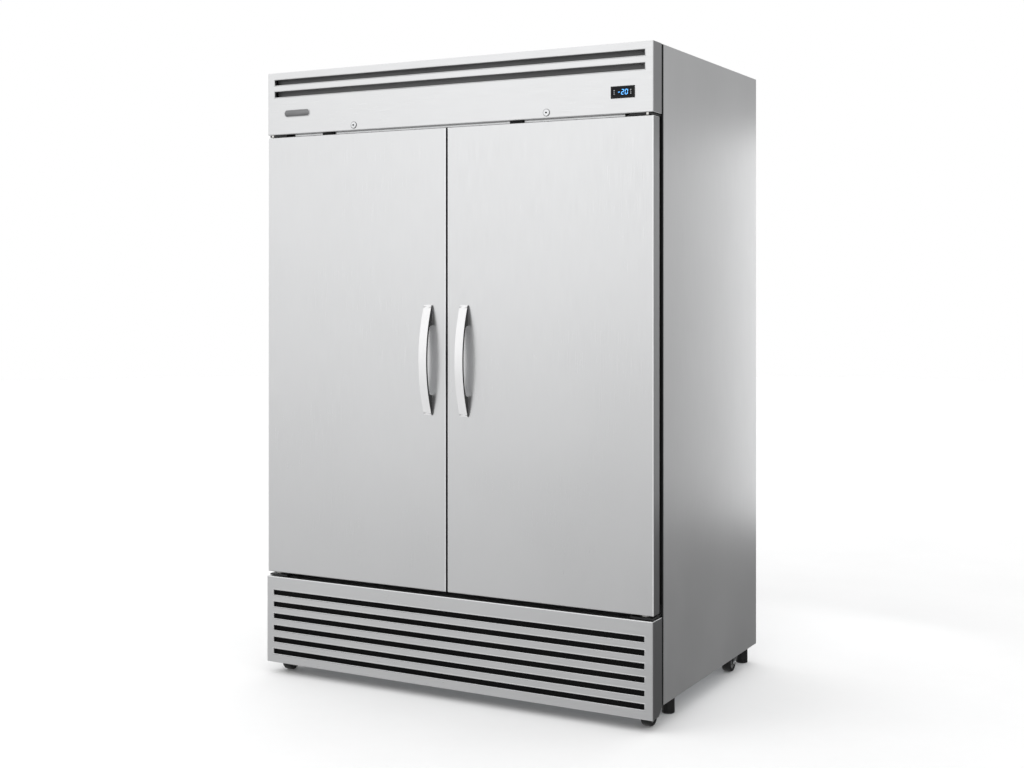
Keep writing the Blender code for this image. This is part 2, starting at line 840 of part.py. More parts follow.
def build_door(side, sign, materials):
    pivot = bpy.data.objects.new(f"{side}_door_pivot", None)
    pivot.location = (sign * (HALF - HINGE_INSET), depth(HINGE_DEPTH), DOOR_BOTTOM)
    bpy.context.scene.collection.objects.link(pivot)
    build_door_skin(side, sign, pivot, materials)
    build_door_inside(side, sign, pivot, materials)
    build_handle(side, sign, pivot, materials)


# ---------------------------------------------------------------- lower grille and machine compartment
def build_grille(materials):
    """The front cover of the machine compartment: a tray open at the back, with long slots."""
    grille = box_object(
        "lower_grille",
        (-HALF, GRILLE_FRONT, GRILLE_BOTTOM),
        (HALF, GRILLE_BACK, GRILLE_TOP),
        materials["stainless"],
    )
    bevel(grille, 0.0025, segments=3)
    cut_boxes(
        grille,
        [
            (
                (-HALF + PLATE, GRILLE_FRONT + PLATE, GRILLE_BOTTOM + PLATE),
                (HALF - PLATE, GRILLE_BACK + 0.01, GRILLE_TOP - PLATE),
            )
        ],
    )
    slots = [
        (
            (-HALF + PLATE, GRILLE_FRONT + GRILLE_LIP, GRILLE_BOTTOM - 0.01),
            (HALF - PLATE, GRILLE_BACK + 0.01, GRILLE_BOTTOM + 0.01),
        )
    ]
    for n in range(GRILLE_SLOT_COUNT):
        top = GRILLE_SLOT_TOP - n * GRILLE_SLOT_PITCH
        slots.append(
            ((-HALF + SLOT_INSET, -0.01, top - GRILLE_SLOT_HEIGHT), (HALF - SLOT_INSET, 0.004, top))
        )
    cut_boxes(grille, slots)
    cut_grille_corners(grille)
    smooth(grille)


def cut_grille_corners(grille):
    """The side returns' lower rear corners are cut off at a slant, clear of the castors."""
    back = depth(GRILLE_BACK)
    corner = [
        (back - GRILLE_CHAMFER, GRILLE_BOTTOM),
        (back, GRILLE_BOTTOM + GRILLE_CHAMFER),
        (back + 0.01, GRILLE_BOTTOM + GRILLE_CHAMFER + 0.01),
        (back + 0.01, GRILLE_BOTTOM - 0.01),
        (back - GRILLE_CHAMFER - 0.01, GRILLE_BOTTOM - 0.01),
    ]
    shape = bmesh.new()
    ring = [shape.verts.new((-HALF - 0.01, y, z)) for y, z in corner]
    face = shape.faces.new(ring)
    swept = bmesh.ops.extrude_face_region(shape, geom=[face])
    moved = [item for item in swept["geom"] if isinstance(item, bmesh.types.BMVert)]
    bmesh.ops.translate(shape, vec=(WIDTH + 0.02, 0, 0), verts=moved)
    combine(grille, shape, "DIFFERENCE")


def build_fan(name, centre, axis, radius, thickness, materials):
    """A hub with five pitched blades."""
    shape = bmesh.new()
    add_cylinder(shape, centre, axis, 0.028, thickness)
    fan = make_object(name, shape, materials["black_plastic"])
    blades = bmesh.new()
    turns = {"Y": Matrix.Rotation(math.pi / 2, 4, "X")}
    place = Matrix.Translation((centre[0], depth(centre[1]), centre[2])) @ turns.get(axis, Matrix())
    root = 0.022
    length = radius - root
    for n in range(5):
        spoke = Matrix.Rotation(2 * math.pi * n / 5, 4, "Z")
        pitch = Matrix.Rotation(math.radians(24), 4, "X")
        middle = Matrix.Translation((root + length / 2, 0, 0))
        size = Matrix.Diagonal((length, 0.050, 0.0025, 1))
        bmesh.ops.create_cube(blades, size=1, matrix=place @ spoke @ middle @ pitch @ size)
    combine(fan, blades, "UNION")
    set_origin(fan, *centre)
    smooth(fan)


def build_condensing_unit(materials):
    """The finned condenser, its fan in a shroud, and the compressor."""
    box_object(
        "condenser_coil",
        (-CONDENSER_HALF, CONDENSER_FRONT, CONDENSER_BOTTOM),
        (CONDENSER_HALF, CONDENSER_BACK, CONDENSER_TOP),
        materials["aluminium"],
    )
    shroud = box_object(
        "condenser_fan_shroud",
        (-SHROUD_HALF, CONDENSER_BACK + GAP, CONDENSER_BOTTOM),
        (SHROUD_HALF, SHROUD_BACK, CONDENSER_TOP),
        materials["galvanised"],
    )
    centre = (0, (CONDENSER_BACK + SHROUD_BACK) / 2, CONDENSER_FAN_HEIGHT)
    cut_cylinders(shroud, [(centre, "Y", FAN_HOLE_RADIUS, 0.1)])
    build_fan("condenser_fan", centre, "Y", FAN_RADIUS, 0.028, materials)

    floor = PAN_TOP + GAP
    profile = [
        (0.0, floor),
        (0.062, floor),
        (0.062, floor + 0.012),
        (0.084, floor + 0.030),
        (0.088, floor + 0.060),
        (0.088, floor + 0.120),
        (0.080, floor + 0.160),
        (0.058, floor + 0.186),
        (0.025, floor + 0.197),
        (0.0, floor + 0.199),
    ]
    compressor = turned_object(
        "compressor",
        profile,
        (COMPRESSOR_X, COMPRESSOR_DEPTH, 0),
        "Z",
        materials["black_steel"],
        segments=24,
    )
    smooth(compressor)


# ---------------------------------------------------------------- inside the cabinet
def build_evaporator(materials):
    """The cooling unit under the ceiling: a tray-shaped cover, and two fans over the holes in it."""
    top = LINER_TOP - SHEET - GAP
    cover = box_object(
        "evaporator_cover",
        (-EVAPORATOR_HALF, EVAPORATOR_FRONT, EVAPORATOR_BOTTOM),
        (EVAPORATOR_HALF, EVAPORATOR_BACK, top),
        materials["liner"],
    )
    bevel(cover, 0.004)
    cut_boxes(
        cover,
        [
            (
                (-EVAPORATOR_HALF + SHEET, EVAPORATOR_FRONT + SHEET, EVAPORATOR_BOTTOM + SHEET),
                (EVAPORATOR_HALF - SHEET, EVAPORATOR_BACK - SHEET, top + 0.01),
            )
        ],
    )
    holes = []
    for side, sign in SIDES.items():
        x = sign * EVAPORATOR_FAN_X
        holes.append(((x, EVAPORATOR_FAN_DEPTH, EVAPORATOR_BOTTOM), "Z", FAN_HOLE_RADIUS, 0.02))
        centre = (x, EVAPORATOR_FAN_DEPTH, EVAPORATOR_BOTTOM + 0.020)
        build_fan(f"{side}_evaporator_fan", centre, "Z", FAN_RADIUS, 0.028, materials)
    cut_cylinders(cover, holes)
    smooth(cover)


def build_shelf(name, sign, level, materials):
    """A wire shelf as a flat rack: a border, a cross rail in the middle, and bars from front to back."""
    low = min(sign * SHELF_OUTER, sign * SHELF_INNER)
    high = max(sign * SHELF_OUTER, sign * SHELF_INNER)
    rack = box_object(
        name, (low, SHELF_FRONT, level - SHELF_THICKNESS), (high, SHELF_BACK, level), materials["chrome"]
    )
    pitch = (high - low - SHELF_RAIL) / SHELF_SLOTS
    bar = 0.006
    middle = (SHELF_FRONT + SHELF_BACK) / 2
    slots = []
    for n in range(SHELF_SLOTS):
        start = low + SHELF_RAIL + n * pitch
        end = start + pitch - bar if n < SHELF_SLOTS - 1 else high - SHELF_RAIL
        for front, back in (
            (SHELF_FRONT + SHELF_RAIL, middle - bar / 2),
            (middle + bar / 2, SHELF_BACK - SHELF_RAIL),
        ):
            slots.append(((start, front, level - 0.02), (end, back, level + 0.02)))
    cut_boxes(rack, slots)


# ---------------------------------------------------------------- castors and feet
def build_castor(name, sign, distance, materials):
    """A swivelling fork with its axle, and the wheel on it, trailing towards the front."""
    x = sign * (HALF - CASTOR_INSET)
    axle_depth = distance - TRAIL
    leg_inner = WHEEL_HALF_WIDTH + 0.0015
    leg_outer = leg_inner + 0.0025
    crown_bottom = 2 * WHEEL_RADIUS + 0.002
    crown_top = crown_bottom + 0.004
    shape = bmesh.new()
    add_box(
        shape,
        (x - leg_outer, axle_depth - FORK_FRONT, crown_bottom),
        (x + leg_outer, distance + FORK_BACK, crown_top),
    )
    fork = make_object(f"{name}_castor_fork", shape, materials["chrome"])
    legs = bmesh.new()
    for leg in SIDES.values():
        near = x + leg * leg_inner
        far = x + leg * leg_outer
        add_box(
            legs,
            (min(near, far), axle_depth - FORK_FRONT, WHEEL_RADIUS - 0.011),
            (max(near, far), distance + 0.006, crown_bottom + 0.002),
        )
    combine(fork, legs, "UNION")
    pins = bmesh.new()
    add_cylinder(pins, (x, axle_depth, WHEEL_RADIUS), "X", AXLE_RADIUS, 2 * leg_outer + 0.004, segments=16)
    top = PAN_BOTTOM - GAP
    add_cylinder(
        pins, (x, distance, (crown_top - 0.001 + top) / 2), "Z", 0.011, top - crown_top + 0.001, segments=20
    )
    combine(fork, pins, "UNION")
    set_origin(fork, x, distance, 0)

    wheel = turned_object(
        f"{name}_castor_wheel",
        [
            (AXLE_BORE, -WHEEL_HALF_WIDTH),
            (WHEEL_RADIUS - 0.004, -WHEEL_HALF_WIDTH),
            (WHEEL_RADIUS, -WHEEL_HALF_WIDTH + 0.004),
            (WHEEL_RADIUS, WHEEL_HALF_WIDTH - 0.004),
            (WHEEL_RADIUS - 0.004, WHEEL_HALF_WIDTH),
            (AXLE_BORE, WHEEL_HALF_WIDTH),
            (AXLE_BORE, -WHEEL_HALF_WIDTH),
        ],
        (x, axle_depth, WHEEL_RADIUS),
        "X",
        materials["tread"],
        segments=24,
    )
    set_origin(wheel, x, axle_depth, WHEEL_RADIUS)
    smooth(wheel)


def build_foot(name, sign, distance, materials):
    """A levelling foot: a tall round block on a screw that rises through the base pan."""
    x = sign * (HALF - CASTOR_INSET)
    profile = [
        (0.0, 0.0),
        (FOOT_RADIUS - FOOT_ROUND, 0.0),
        (FOOT_RADIUS, FOOT_ROUND),
        (FOOT_RADIUS, FOOT_HEIGHT - FOOT_ROUND),
        (FOOT_RADIUS - FOOT_ROUND, FOOT_HEIGHT),
        (STEM_RADIUS, FOOT_HEIGHT),
        (STEM_RADIUS, STEM_TOP),
        (0.0, STEM_TOP),
    ]
    foot = turned_object(name, profile, (x, distance, 0), "Z", materials["black_plastic"], segments=20)
    set_origin(foot, x, distance, 0)
    smooth(foot)


# ---------------------------------------------------------------- whole object
def main():
    clear_scene()
    materials = make_materials()
    build_cabinet_shell(materials)
    build_rear_vent(materials)
    build_cord_gland(materials)
    build_insulation(materials)
    build_inner_liner(materials)
    build_face_frame(materials)
    build_mullion(materials)
    build_header(materials)
    build_controller(materials)
    build_grille(materials)
    build_condensing_unit(materials)
    build_evaporator(materials)
    for side, sign in SIDES.items():
        build_side_panel(side, sign, materials)
        build_lock(side, sign, materials)
        build_hinges(side, sign, materials)
        build_door(side, sign, materials)
        for height, level in SHELF_LEVELS.items():
            build_shelf(f"{side}_{height}_shelf", sign, level, materials)
        for end in CASTOR_DEPTHS:
            build_castor(f"{end}_{side}", sign, CASTOR_DEPTHS[end], materials)
            build_foot(f"{end}_{side}_foot", sign, FOOT_DEPTHS[end], materials)


main()
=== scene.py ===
"""Looks, light and camera for the two-door upright refrigerator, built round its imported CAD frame.

Metres, +Z up, in the frame's own axes: X runs across the front, the doors face -Y, the floor is at Z = 0.
Places come from the CAD nodes' boxes. Every piece rides on one CAD body.
"""

import math

import bmesh
import bpy
from mathutils import Matrix, Vector


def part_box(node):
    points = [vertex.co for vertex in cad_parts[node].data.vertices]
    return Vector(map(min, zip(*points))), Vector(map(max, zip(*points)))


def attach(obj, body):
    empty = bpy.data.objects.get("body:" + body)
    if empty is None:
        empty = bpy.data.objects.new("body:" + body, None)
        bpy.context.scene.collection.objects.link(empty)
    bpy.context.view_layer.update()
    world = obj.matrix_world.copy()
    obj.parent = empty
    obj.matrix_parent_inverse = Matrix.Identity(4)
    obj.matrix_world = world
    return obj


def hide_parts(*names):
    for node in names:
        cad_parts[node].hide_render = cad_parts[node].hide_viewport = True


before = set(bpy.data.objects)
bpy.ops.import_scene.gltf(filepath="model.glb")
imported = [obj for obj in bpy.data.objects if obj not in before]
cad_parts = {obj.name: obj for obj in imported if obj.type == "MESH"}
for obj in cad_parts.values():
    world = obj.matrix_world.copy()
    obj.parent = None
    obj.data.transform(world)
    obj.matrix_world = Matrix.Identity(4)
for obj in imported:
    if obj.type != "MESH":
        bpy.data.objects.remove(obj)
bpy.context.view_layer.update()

SIDES = {"left": -1, "right": 1}
CORNERS = [(end, side) for end in ("front", "rear") for side in SIDES]
GAP = 0.0003                      # clearance between pieces that touch
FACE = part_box("left_door_skin")[0].y
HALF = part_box("right_side_panel")[1].x
DOOR_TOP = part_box("left_door_skin")[1].z
DOOR_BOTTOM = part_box("left_door_skin")[0].z

# ---- camera and stage
CAMERA_PLACE = (2.3205, FACE - 3.837, 1.299)
CAMERA_TURN = math.radians(28.55)
CAMERA_LENS = 50.435
CAMERA_SHIFT = -0.097
FLOOR_RADIUS = 16.0


# ---- node building
def feed(tree, socket, value):
    """Links an input to another node's output, or sets it to a plain value."""
    if isinstance(value, bpy.types.NodeSocket):
        tree.links.new(value, socket)
    else:
        socket.default_value = value


def add_node(tree, kind, *values, operation=None, **inputs):
    """A shader node with its inputs fed, in order or by name."""
    node = tree.nodes.new(kind)
    if operation:
        node.operation = operation
    for socket, value in zip(node.inputs, values):
        feed(tree, socket, value)
    for name, value in inputs.items():
        feed(tree, node.inputs[name.replace("_", " ")], value)
    return node


def split(tree, vector):
    """The X, Y and Z outputs of a vector or a colour."""
    return add_node(tree, "ShaderNodeSeparateXYZ", vector).outputs


def coordinates(tree, kind):
    return tree.nodes.new("ShaderNodeTexCoord").outputs[kind]


def noise(tree, vector, scale, detail):
    return add_node(tree, "ShaderNodeTexNoise", Vector=vector, Scale=scale, Detail=detail).outputs["Fac"]


def spread(tree, value, low, high, source=(0.3, 0.7)):
    """The value moved from one range to another, and clamped."""
    return add_node(tree, "ShaderNodeMapRange", value, *source, low, high).outputs["Result"]


def blend_colours(tree, factor, first, second):
    """A colour between two, each one a colour or another node's output."""
    node = tree.nodes.new("ShaderNodeMix")
    node.data_type = "RGBA"
    feed(tree, node.inputs["Factor"], factor)
    for socket, colour in ((node.inputs[6], first), (node.inputs[7], second)):
        feed(tree, socket, (*colour, 1) if isinstance(colour, tuple) else colour)
    return node.outputs[2]


def shaded(colour, factor):
    return tuple(min(1.0, part * factor) for part in colour)


CLOUD_SCALE = 2.5                 # broad patches on every surface
RELIEF = 0.0002                   # height of the grain at full bump


def surface(
    name,
    colour,
    roughness,
    metallic=0.0,
    stretch=(1.0, 1.0, 1.0),
    grain=400.0,
    colour_spread=0.06,
    rough_spread=0.05,
    bump=0.15,
    gloss=0.5,
):
    """A Principled surface: clouds vary its colour, and a grain varies its roughness and its relief."""
    material = bpy.data.materials.new(name)
    material.use_nodes = True
    tree = material.node_tree
    shader = tree.nodes["Principled BSDF"]
    shader.inputs["Metallic"].default_value = metallic
    shader.inputs["Specular IOR Level"].default_value = gloss
    coords = coordinates(tree, "Object")
    mapping = add_node(tree, "ShaderNodeMapping", Vector=coords, Scale=stretch)
    fine = noise(tree, mapping.outputs["Vector"], grain, 3.0)
    clouds = noise(tree, coords, CLOUD_SCALE, 4.0)
    dark = shaded(colour, 1 - colour_spread)
    light = shaded(colour, 1 + colour_spread)
    tint = blend_colours(tree, spread(tree, clouds, 0, 1), dark, light)
    streaked = blend_colours(tree, spread(tree, fine, 0, colour_spread * 2), tint, shaded(colour, 0.75))
    tree.links.new(streaked, shader.inputs["Base Color"])
    rough = spread(tree, fine, roughness - rough_spread, roughness + rough_spread)
    smudged = add_node(tree, "ShaderNodeMath", clouds, rough_spread, rough, operation="MULTIPLY_ADD")
    tree.links.new(smudged.outputs[0], shader.inputs["Roughness"])
    raised = add_node(tree, "ShaderNodeBump", Strength=bump, Distance=RELIEF, Height=fine)
    tree.links.new(raised.outputs["Normal"], shader.inputs["Normal"])
    return material


def paint_light_by_facing(material, axis, reach, colour):
    """Another colour on the faces that look along one of the object's own axes: painted shade on returns,
    edges and tops, and a painted highlight on the door folds.

    A signed axis, "+Y" or "-Y", takes one side, and a plain "X" takes both.
    """
    tree = material.node_tree
    shader = tree.nodes["Principled BSDF"]
    before = shader.inputs["Base Color"].links[0].from_socket
    part = split(tree, coordinates(tree, "Normal"))[axis[-1]]
    operation = "ABSOLUTE" if len(axis) == 1 else "MULTIPLY"
    size = add_node(tree, "ShaderNodeMath", part, -1 if axis[0] == "-" else 1, operation=operation)
    facing = spread(tree, size.outputs[0], 0, 1, reach)
    tree.links.new(blend_colours(tree, facing, before, colour), shader.inputs["Base Color"])
    return material


def folded_front(name, grain, painted_fold):
    """Brushed sheet with painted light on its folds, in the given colour, and painted shade on its side
    returns.
    """
    material = surface(name, STEEL, 0.3, 1.0, grain, 900, bump=0.1, colour_spread=0.02)
    paint_light_by_facing(material, "X", (0.1, 0.22), painted_fold)
    return paint_light_by_facing(material, "X", (0.8, 0.97), RETURN_SHADE)


def spangled(material, colour):
    """Zinc flowers: cells of slightly different greys over the colour."""
    tree = material.node_tree
    cells = add_node(tree, "ShaderNodeTexVoronoi", Vector=coordinates(tree, "Object"), Scale=70.0)
    flowers = spread(tree, split(tree, cells.outputs["Color"])["X"], 0, 1, (0, 1))
    tint = blend_colours(tree, flowers, shaded(colour, 0.86), shaded(colour, 1.1))
    tree.links.new(tint, tree.nodes["Principled BSDF"].inputs["Base Color"])
    return material


def glowing(material, colour, strength):
    shader = material.node_tree.nodes["Principled BSDF"]
    shader.inputs["Emission Color"].default_value = (*colour, 1)
    shader.inputs["Emission Strength"].default_value = strength
    return material


STEEL = (0.72, 0.724, 0.73)
# painted shade: the side returns of the doors, header and grille, darker than their fronts
RETURN_SHADE = (0.4, 0.404, 0.41)
# painted shade: the handle pull's sides, near black
PULL_SIDE_SHADE = (0.02, 0.0205, 0.021)
# painted highlight: near-white folds along the door edges
FOLD_HIGHLIGHT = (0.97, 0.972, 0.975)
# painted shade: darker folds at the ends of the header and grille
FOLD_SHADE = (0.5, 0.503, 0.507)
# painted shade: steel that faces up, on the top panel and on the header and grille, darker than the same
# steel elsewhere
UPWARD_SHADE = (0.52, 0.523, 0.527)
# painted shade: a near-black line on the side panels' front edges
SIDE_EDGE_SHADE = (0.05, 0.051, 0.052)
UPRIGHT_GRAIN = (1.0, 1.0, 0.012)
LEVEL_GRAIN = (0.012, 1.0, 1.0)
FINE_GRAIN = (1, 1, 0.02)

MATERIALS = {
    # the doors: painted highlight on the folds, painted shade on the side returns
    "door": folded_front("brushed_steel_door", UPRIGHT_GRAIN, FOLD_HIGHLIGHT),
    # the header and grille: painted shade on the folds, the side returns and the upward faces
    "front": paint_light_by_facing(
        folded_front("brushed_steel_front", LEVEL_GRAIN, FOLD_SHADE), "+Z", (0.7, 0.95), UPWARD_SHADE
    ),
    # the side panels: painted shade on the faces that look forward
    "side": paint_light_by_facing(
        surface("brushed_steel_side", STEEL, 0.42, 1.0, UPRIGHT_GRAIN, 900, bump=0.07, colour_spread=0.025),
        "-Y",
        (0.1, 0.35),
        SIDE_EDGE_SHADE,
    ),
    # the top panel: the same brushed steel in painted shade
    "top": surface("brushed_steel_top_shaded", UPWARD_SHADE, 0.45, 1.0, UPRIGHT_GRAIN, 900, bump=0.07),
    "lip": surface("brushed_steel_lip", (0.66, 0.665, 0.67), 0.26, 1.0, LEVEL_GRAIN, 900, bump=0.05),
    "liner": surface("liner_steel", (0.62, 0.625, 0.63), 0.36, 1.0, UPRIGHT_GRAIN, 700, bump=0.1),
    "satin": surface("satin_nickel", (0.8, 0.8, 0.805), 0.27, 1.0, FINE_GRAIN, 1200, bump=0.06),
    # the handle pull: painted shade on its sides
    "pull": paint_light_by_facing(
        surface(
            "satin_handle", (0.76, 0.76, 0.765), 0.34, 0.3, FINE_GRAIN, 1200,
            colour_spread=0.02, bump=0.05, gloss=0.25,
        ),
        "X",
        (0.45, 0.85),
        PULL_SIDE_SHADE,
    ),
    "zinc": spangled(
        surface("galvanised_sheet", (0.5, 0.52, 0.54), 0.46, 1.0, grain=300, rough_spread=0.08, bump=0.08),
        (0.5, 0.52, 0.54),
    ),
    "chrome": surface(
        "chrome_plate", (0.76, 0.77, 0.78), 0.14, 1.0, grain=600, rough_spread=0.03, bump=0.04
    ),
    "fins": surface("condenser_fins", (0.03, 0.031, 0.033), 0.55, 0.3, grain=500, bump=0.3),
    "aluminium": surface("aluminium_fins", (0.66, 0.67, 0.68), 0.42, 1.0, grain=500, bump=0.15),
    "black_steel": surface(
        "black_enamel", (0.016, 0.016, 0.017), 0.38, grain=500, colour_spread=0.2, bump=0.25, gloss=0.3
    ),
    "grey_steel": surface("grey_enamel", (0.145, 0.146, 0.148), 0.5, colour_spread=0.15, bump=0.2),
    "plastic": surface(
        "black_plastic", (0.01, 0.01, 0.0105), 0.42, grain=1500, colour_spread=0.2, bump=0.35, gloss=0.2
    ),
    "mesh": surface(
        "filter_mesh", (0.006, 0.006, 0.0062), 0.7, grain=900, colour_spread=0.3, bump=0.3, gloss=0.05
    ),
    "plate": surface("nameplate_face", (0.23, 0.232, 0.236), 0.34, 1.0, LEVEL_GRAIN, 900, bump=0.05),
    "nylon": surface("pale_nylon", (0.62, 0.61, 0.58), 0.5, grain=900, bump=0.2),
    "rubber": surface(
        "gasket_rubber", (0.014, 0.014, 0.015), 0.62, grain=1300, colour_spread=0.25, bump=0.4, gloss=0.25
    ),
    "tread": surface(
        "castor_tread", (0.008, 0.008, 0.0085), 0.5, grain=1100, colour_spread=0.25, bump=0.4, gloss=0.25
    ),
    "foam": surface("cabinet_foam", (0.8, 0.68, 0.42), 0.9, grain=250, colour_spread=0.12, bump=0.6),
    "copper": surface("copper_tube", (0.72, 0.36, 0.22), 0.3, 1.0, grain=500, colour_spread=0.2, bump=0.1),
    "lens": surface(
        "display_lens", (0.004, 0.004, 0.005), 0.09, grain=800, rough_spread=0.03, bump=0.03, gloss=0.15
    ),
    "digit": glowing(
        surface("display_digits", (0.1, 0.42, 0.95), 0.35, grain=900, bump=0.05), (0.12, 0.45, 1.0), 1.6
    ),
    "icon": surface("pale_icons", (0.5, 0.52, 0.54), 0.45, grain=900, bump=0.05),
    "lamp": surface("lamp_cover", (0.86, 0.87, 0.86), 0.4, grain=600, bump=0.1),
}


# ---- mesh building
def at(x, distance, z):
    """A point this far behind the door faces."""
    return Vector((x, FACE + distance, z))


def add_box(shape, low, high, edge=0.0008, segments=2):
    """A box between two corners, in any order, with rounded edges."""
    low, high = Vector(map(min, low, high)), Vector(map(max, low, high))
    place = Matrix.Translation((low + high) / 2) @ Matrix.Diagonal((*(high - low), 1))
    made = bmesh.ops.create_cube(shape, size=1, matrix=place)
    if edge:
        edges = list(dict.fromkeys(line for corner in made["verts"] for line in corner.link_edges))
        bmesh.ops.bevel(shape, geom=edges, offset=edge, segments=segments, profile=0.5, affect="EDGES")


def add_rod(shape, start, end, radius, segments=10):
    start, end = Vector(start), Vector(end)
    run = end - start
    place = Matrix.Translation((start + end) / 2) @ run.to_track_quat("Z", "Y").to_matrix().to_4x4()
    sizes = {"radius1": radius, "radius2": radius, "depth": run.length}
    bmesh.ops.create_cone(shape, cap_ends=True, segments=segments, matrix=place, **sizes)


def circle(count):
    return [2 * math.pi * n / count for n in range(count)]


def spokes(count, start=0.0):
    """Level directions, evenly round."""
    return [Vector((math.cos(start + t), math.sin(start + t), 0)) for t in circle(count)]


def join_rings(shape, rings, closed=False):
    """Faces between each ring of vertices and the next. A ring may be a single point."""
    pairs = list(zip(rings, rings[1:]))
    if closed:
        pairs.append((rings[-1], rings[0]))
    for ring, after in pairs:
        count = max(len(ring), len(after))
        for n in range(count):
            m = (n + 1) % count
            loop = (ring[n % len(ring)], ring[m % len(ring)], after[m % len(after)], after[n % len(after)])
            shape.faces.new(list(dict.fromkeys(loop)))


def close_rings(shape, rings):
    """A solid through rings of vertices. It gives its two end faces."""
    join_rings(shape, rings)
    return [shape.faces.new(rings[0]), shape.faces.new(rings[-1])]


def add_prism(shape, outline, axis, start, end):
    """A solid between two levels along X or Y, from an outline. It gives its two end faces."""
    rings = []
    for level in (start, end):
        places = [(level, a, b) if axis == "X" else (a, level, b) for a, b in outline]
        rings.append([shape.verts.new(place) for place in places])
    return close_rings(shape, rings)


def add_tube(shape, points, radius, segments=10, closed=False):
    """A round tube along a line of points."""
    points = [Vector(point) for point in points]
    count = len(points)
    rings = []
    across = None
    for n, point in enumerate(points):
        if closed:
            ahead = points[(n + 1) % count] - points[n - 1]
        else:
            ahead = points[min(n + 1, count - 1)] - points[max(n - 1, 0)]
        ahead.normalize()
        across = ahead.orthogonal() if across is None else across - ahead * across.dot(ahead)
        across.normalize()
        other = ahead.cross(across)
        arms = [math.cos(t) * across + math.sin(t) * other for t in circle(segments)]
        rings.append([shape.verts.new(point + radius * arm) for arm in arms])
    if closed:
        join_rings(shape, rings, closed=True)
    else:
        close_rings(shape, rings)


def rounded_path(corners, radius, steps=5, closed=False):
    """The points of a line with its corners turned into arcs."""
    corners = [Vector(corner) for corner in corners]
    count = len(corners)
    path = [] if closed else [corners[0]]
    for n in range(count) if closed else range(1, count - 1):
        corner = corners[n]
        back = (corners[n - 1] - corner).normalized()
        ahead = (corners[(n + 1) % count] - corner).normalized()
        half = back.angle(ahead) / 2
        centre = corner + (back + ahead).normalized() * (radius / math.sin(half))
        first = (corner + back * (radius / math.tan(half)) - centre).normalized()
        last = (corner + ahead * (radius / math.tan(half)) - centre).normalized()
        sweep = first.angle(last)
        for step in range(steps + 1):
            part = sweep * step / steps
            arm = (first * math.sin(sweep - part) + last * math.sin(part)) / math.sin(sweep)
            path.append(centre + arm * radius)
    return path if closed else path + [corners[-1]]


def add_lathe(shape, profile, centre, axis="Z", segments=32):
    """A solid of revolution from (radius, height) points; heights run along +axis from the centre."""
    turns = {"X": Matrix.Rotation(math.pi / 2, 4, "Y"), "Y": Matrix.Rotation(-math.pi / 2, 4, "X")}
    place = Matrix.Translation(Vector(centre)) @ turns.get(axis, Matrix())
    rings = []
    for radius, height in profile:
        turned = circle(segments) if radius > 1e-7 else [0.0]
        spots = [Vector((radius * math.cos(t), radius * math.sin(t), height)) for t in turned]
        rings.append([shape.verts.new(place @ spot) for spot in spots])
    join_rings(shape, rings)


def add_frame(shape, profile, low, high, y):
    """A frame round a rectangle of (X, Z) corners, from a closed profile of (outward, backward) points."""
    rings = []
    for right, up in ((-1, -1), (1, -1), (1, 1), (-1, 1)):
        x, z = (high if right > 0 else low)[0], (high if up > 0 else low)[1]
        rings.append([shape.verts.new((x + right * out, y + back, z + up * out)) for out, back in profile])
    join_rings(shape, rings, closed=True)


def add_nest(shape, low, high, place, steps):
    """A solid lofted through nested rectangles: (inset, height) steps, each set in the space by place()."""
    rings = []
    for inset, height in steps:
        left, right = low[0] + inset, high[0] - inset
        bottom, top = low[1] + inset, high[1] - inset
        flat = ((left, bottom), (right, bottom), (right, top), (left, top))
        rings.append([shape.verts.new(place(a, b, height)) for a, b in flat])
    close_rings(shape, rings)


SLOTS = {
    "stainless": ("lip",),
    "liner_stainless": ("liner",),
    "satin_stainless": ("plate", "pull"),
    "galvanised_steel": ("zinc",),
    "chrome": ("chrome",),
    "black_steel": ("black_steel", "grey_steel"),
    "black_plastic": ("plastic", "mesh", "nylon"),
    "gasket_rubber": ("rubber",),
    "castor_tread": ("tread",),
    "aluminium_fins": ("fins", "aluminium"),
    "display_lens": ("digit", "icon"),
}


def make_piece(name, shape, material, body="cabinet", slot=None, sharp=35, stands_for=()):
    """A named mesh from a bmesh on a CAD body. The slot, its own or the one its material goes with, is
    looked up but not used.
    """
    bmesh.ops.remove_doubles(shape, verts=shape.verts, dist=1e-6)
    bmesh.ops.recalc_face_normals(shape, faces=shape.faces)
    mesh = bpy.data.meshes.new(name)
    shape.to_mesh(mesh)
    shape.free()
    mesh.materials.append(MATERIALS[material])
    mesh.shade_smooth()
    mesh.set_sharp_from_angle(angle=math.radians(sharp))
    item = bpy.data.objects.new(name, mesh)
    bpy.context.scene.collection.objects.link(item)
    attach(item, body)
    slot = slot or next((slot for slot, materials in SLOTS.items() if material in materials), None)
    if stands_for:
        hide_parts(*stands_for)


def screw_profile(radius):
    """A pan head with a socket, standing on a surface at height 0."""
    return [
        (0.0, radius * 0.25), (radius * 0.38, radius * 0.25), (radius * 0.42, radius * 0.62),
        (radius * 0.75, radius * 0.52), (radius, radius * 0.2), (radius, 0.0), (0.0, 0.0),
    ]


def add_screws(shape, places, axis, outward, radius=0.004):
    """Screw heads on a flat surface that faces outward (1 or -1) along an axis."""
    profile = [(r, outward * h) for r, h in screw_profile(radius)]
    for place in places:
        add_lathe(shape, profile, place, axis, segments=12)


def evenly(low, high, count):
    return [low + (high - low) * n / (count - 1) for n in range(count)]


def there_and_back(points):
    """A profile's points, and then the same ones mirrored in their first value, back to the start."""
    return points + [(-first, second) for first, second in reversed(points)]


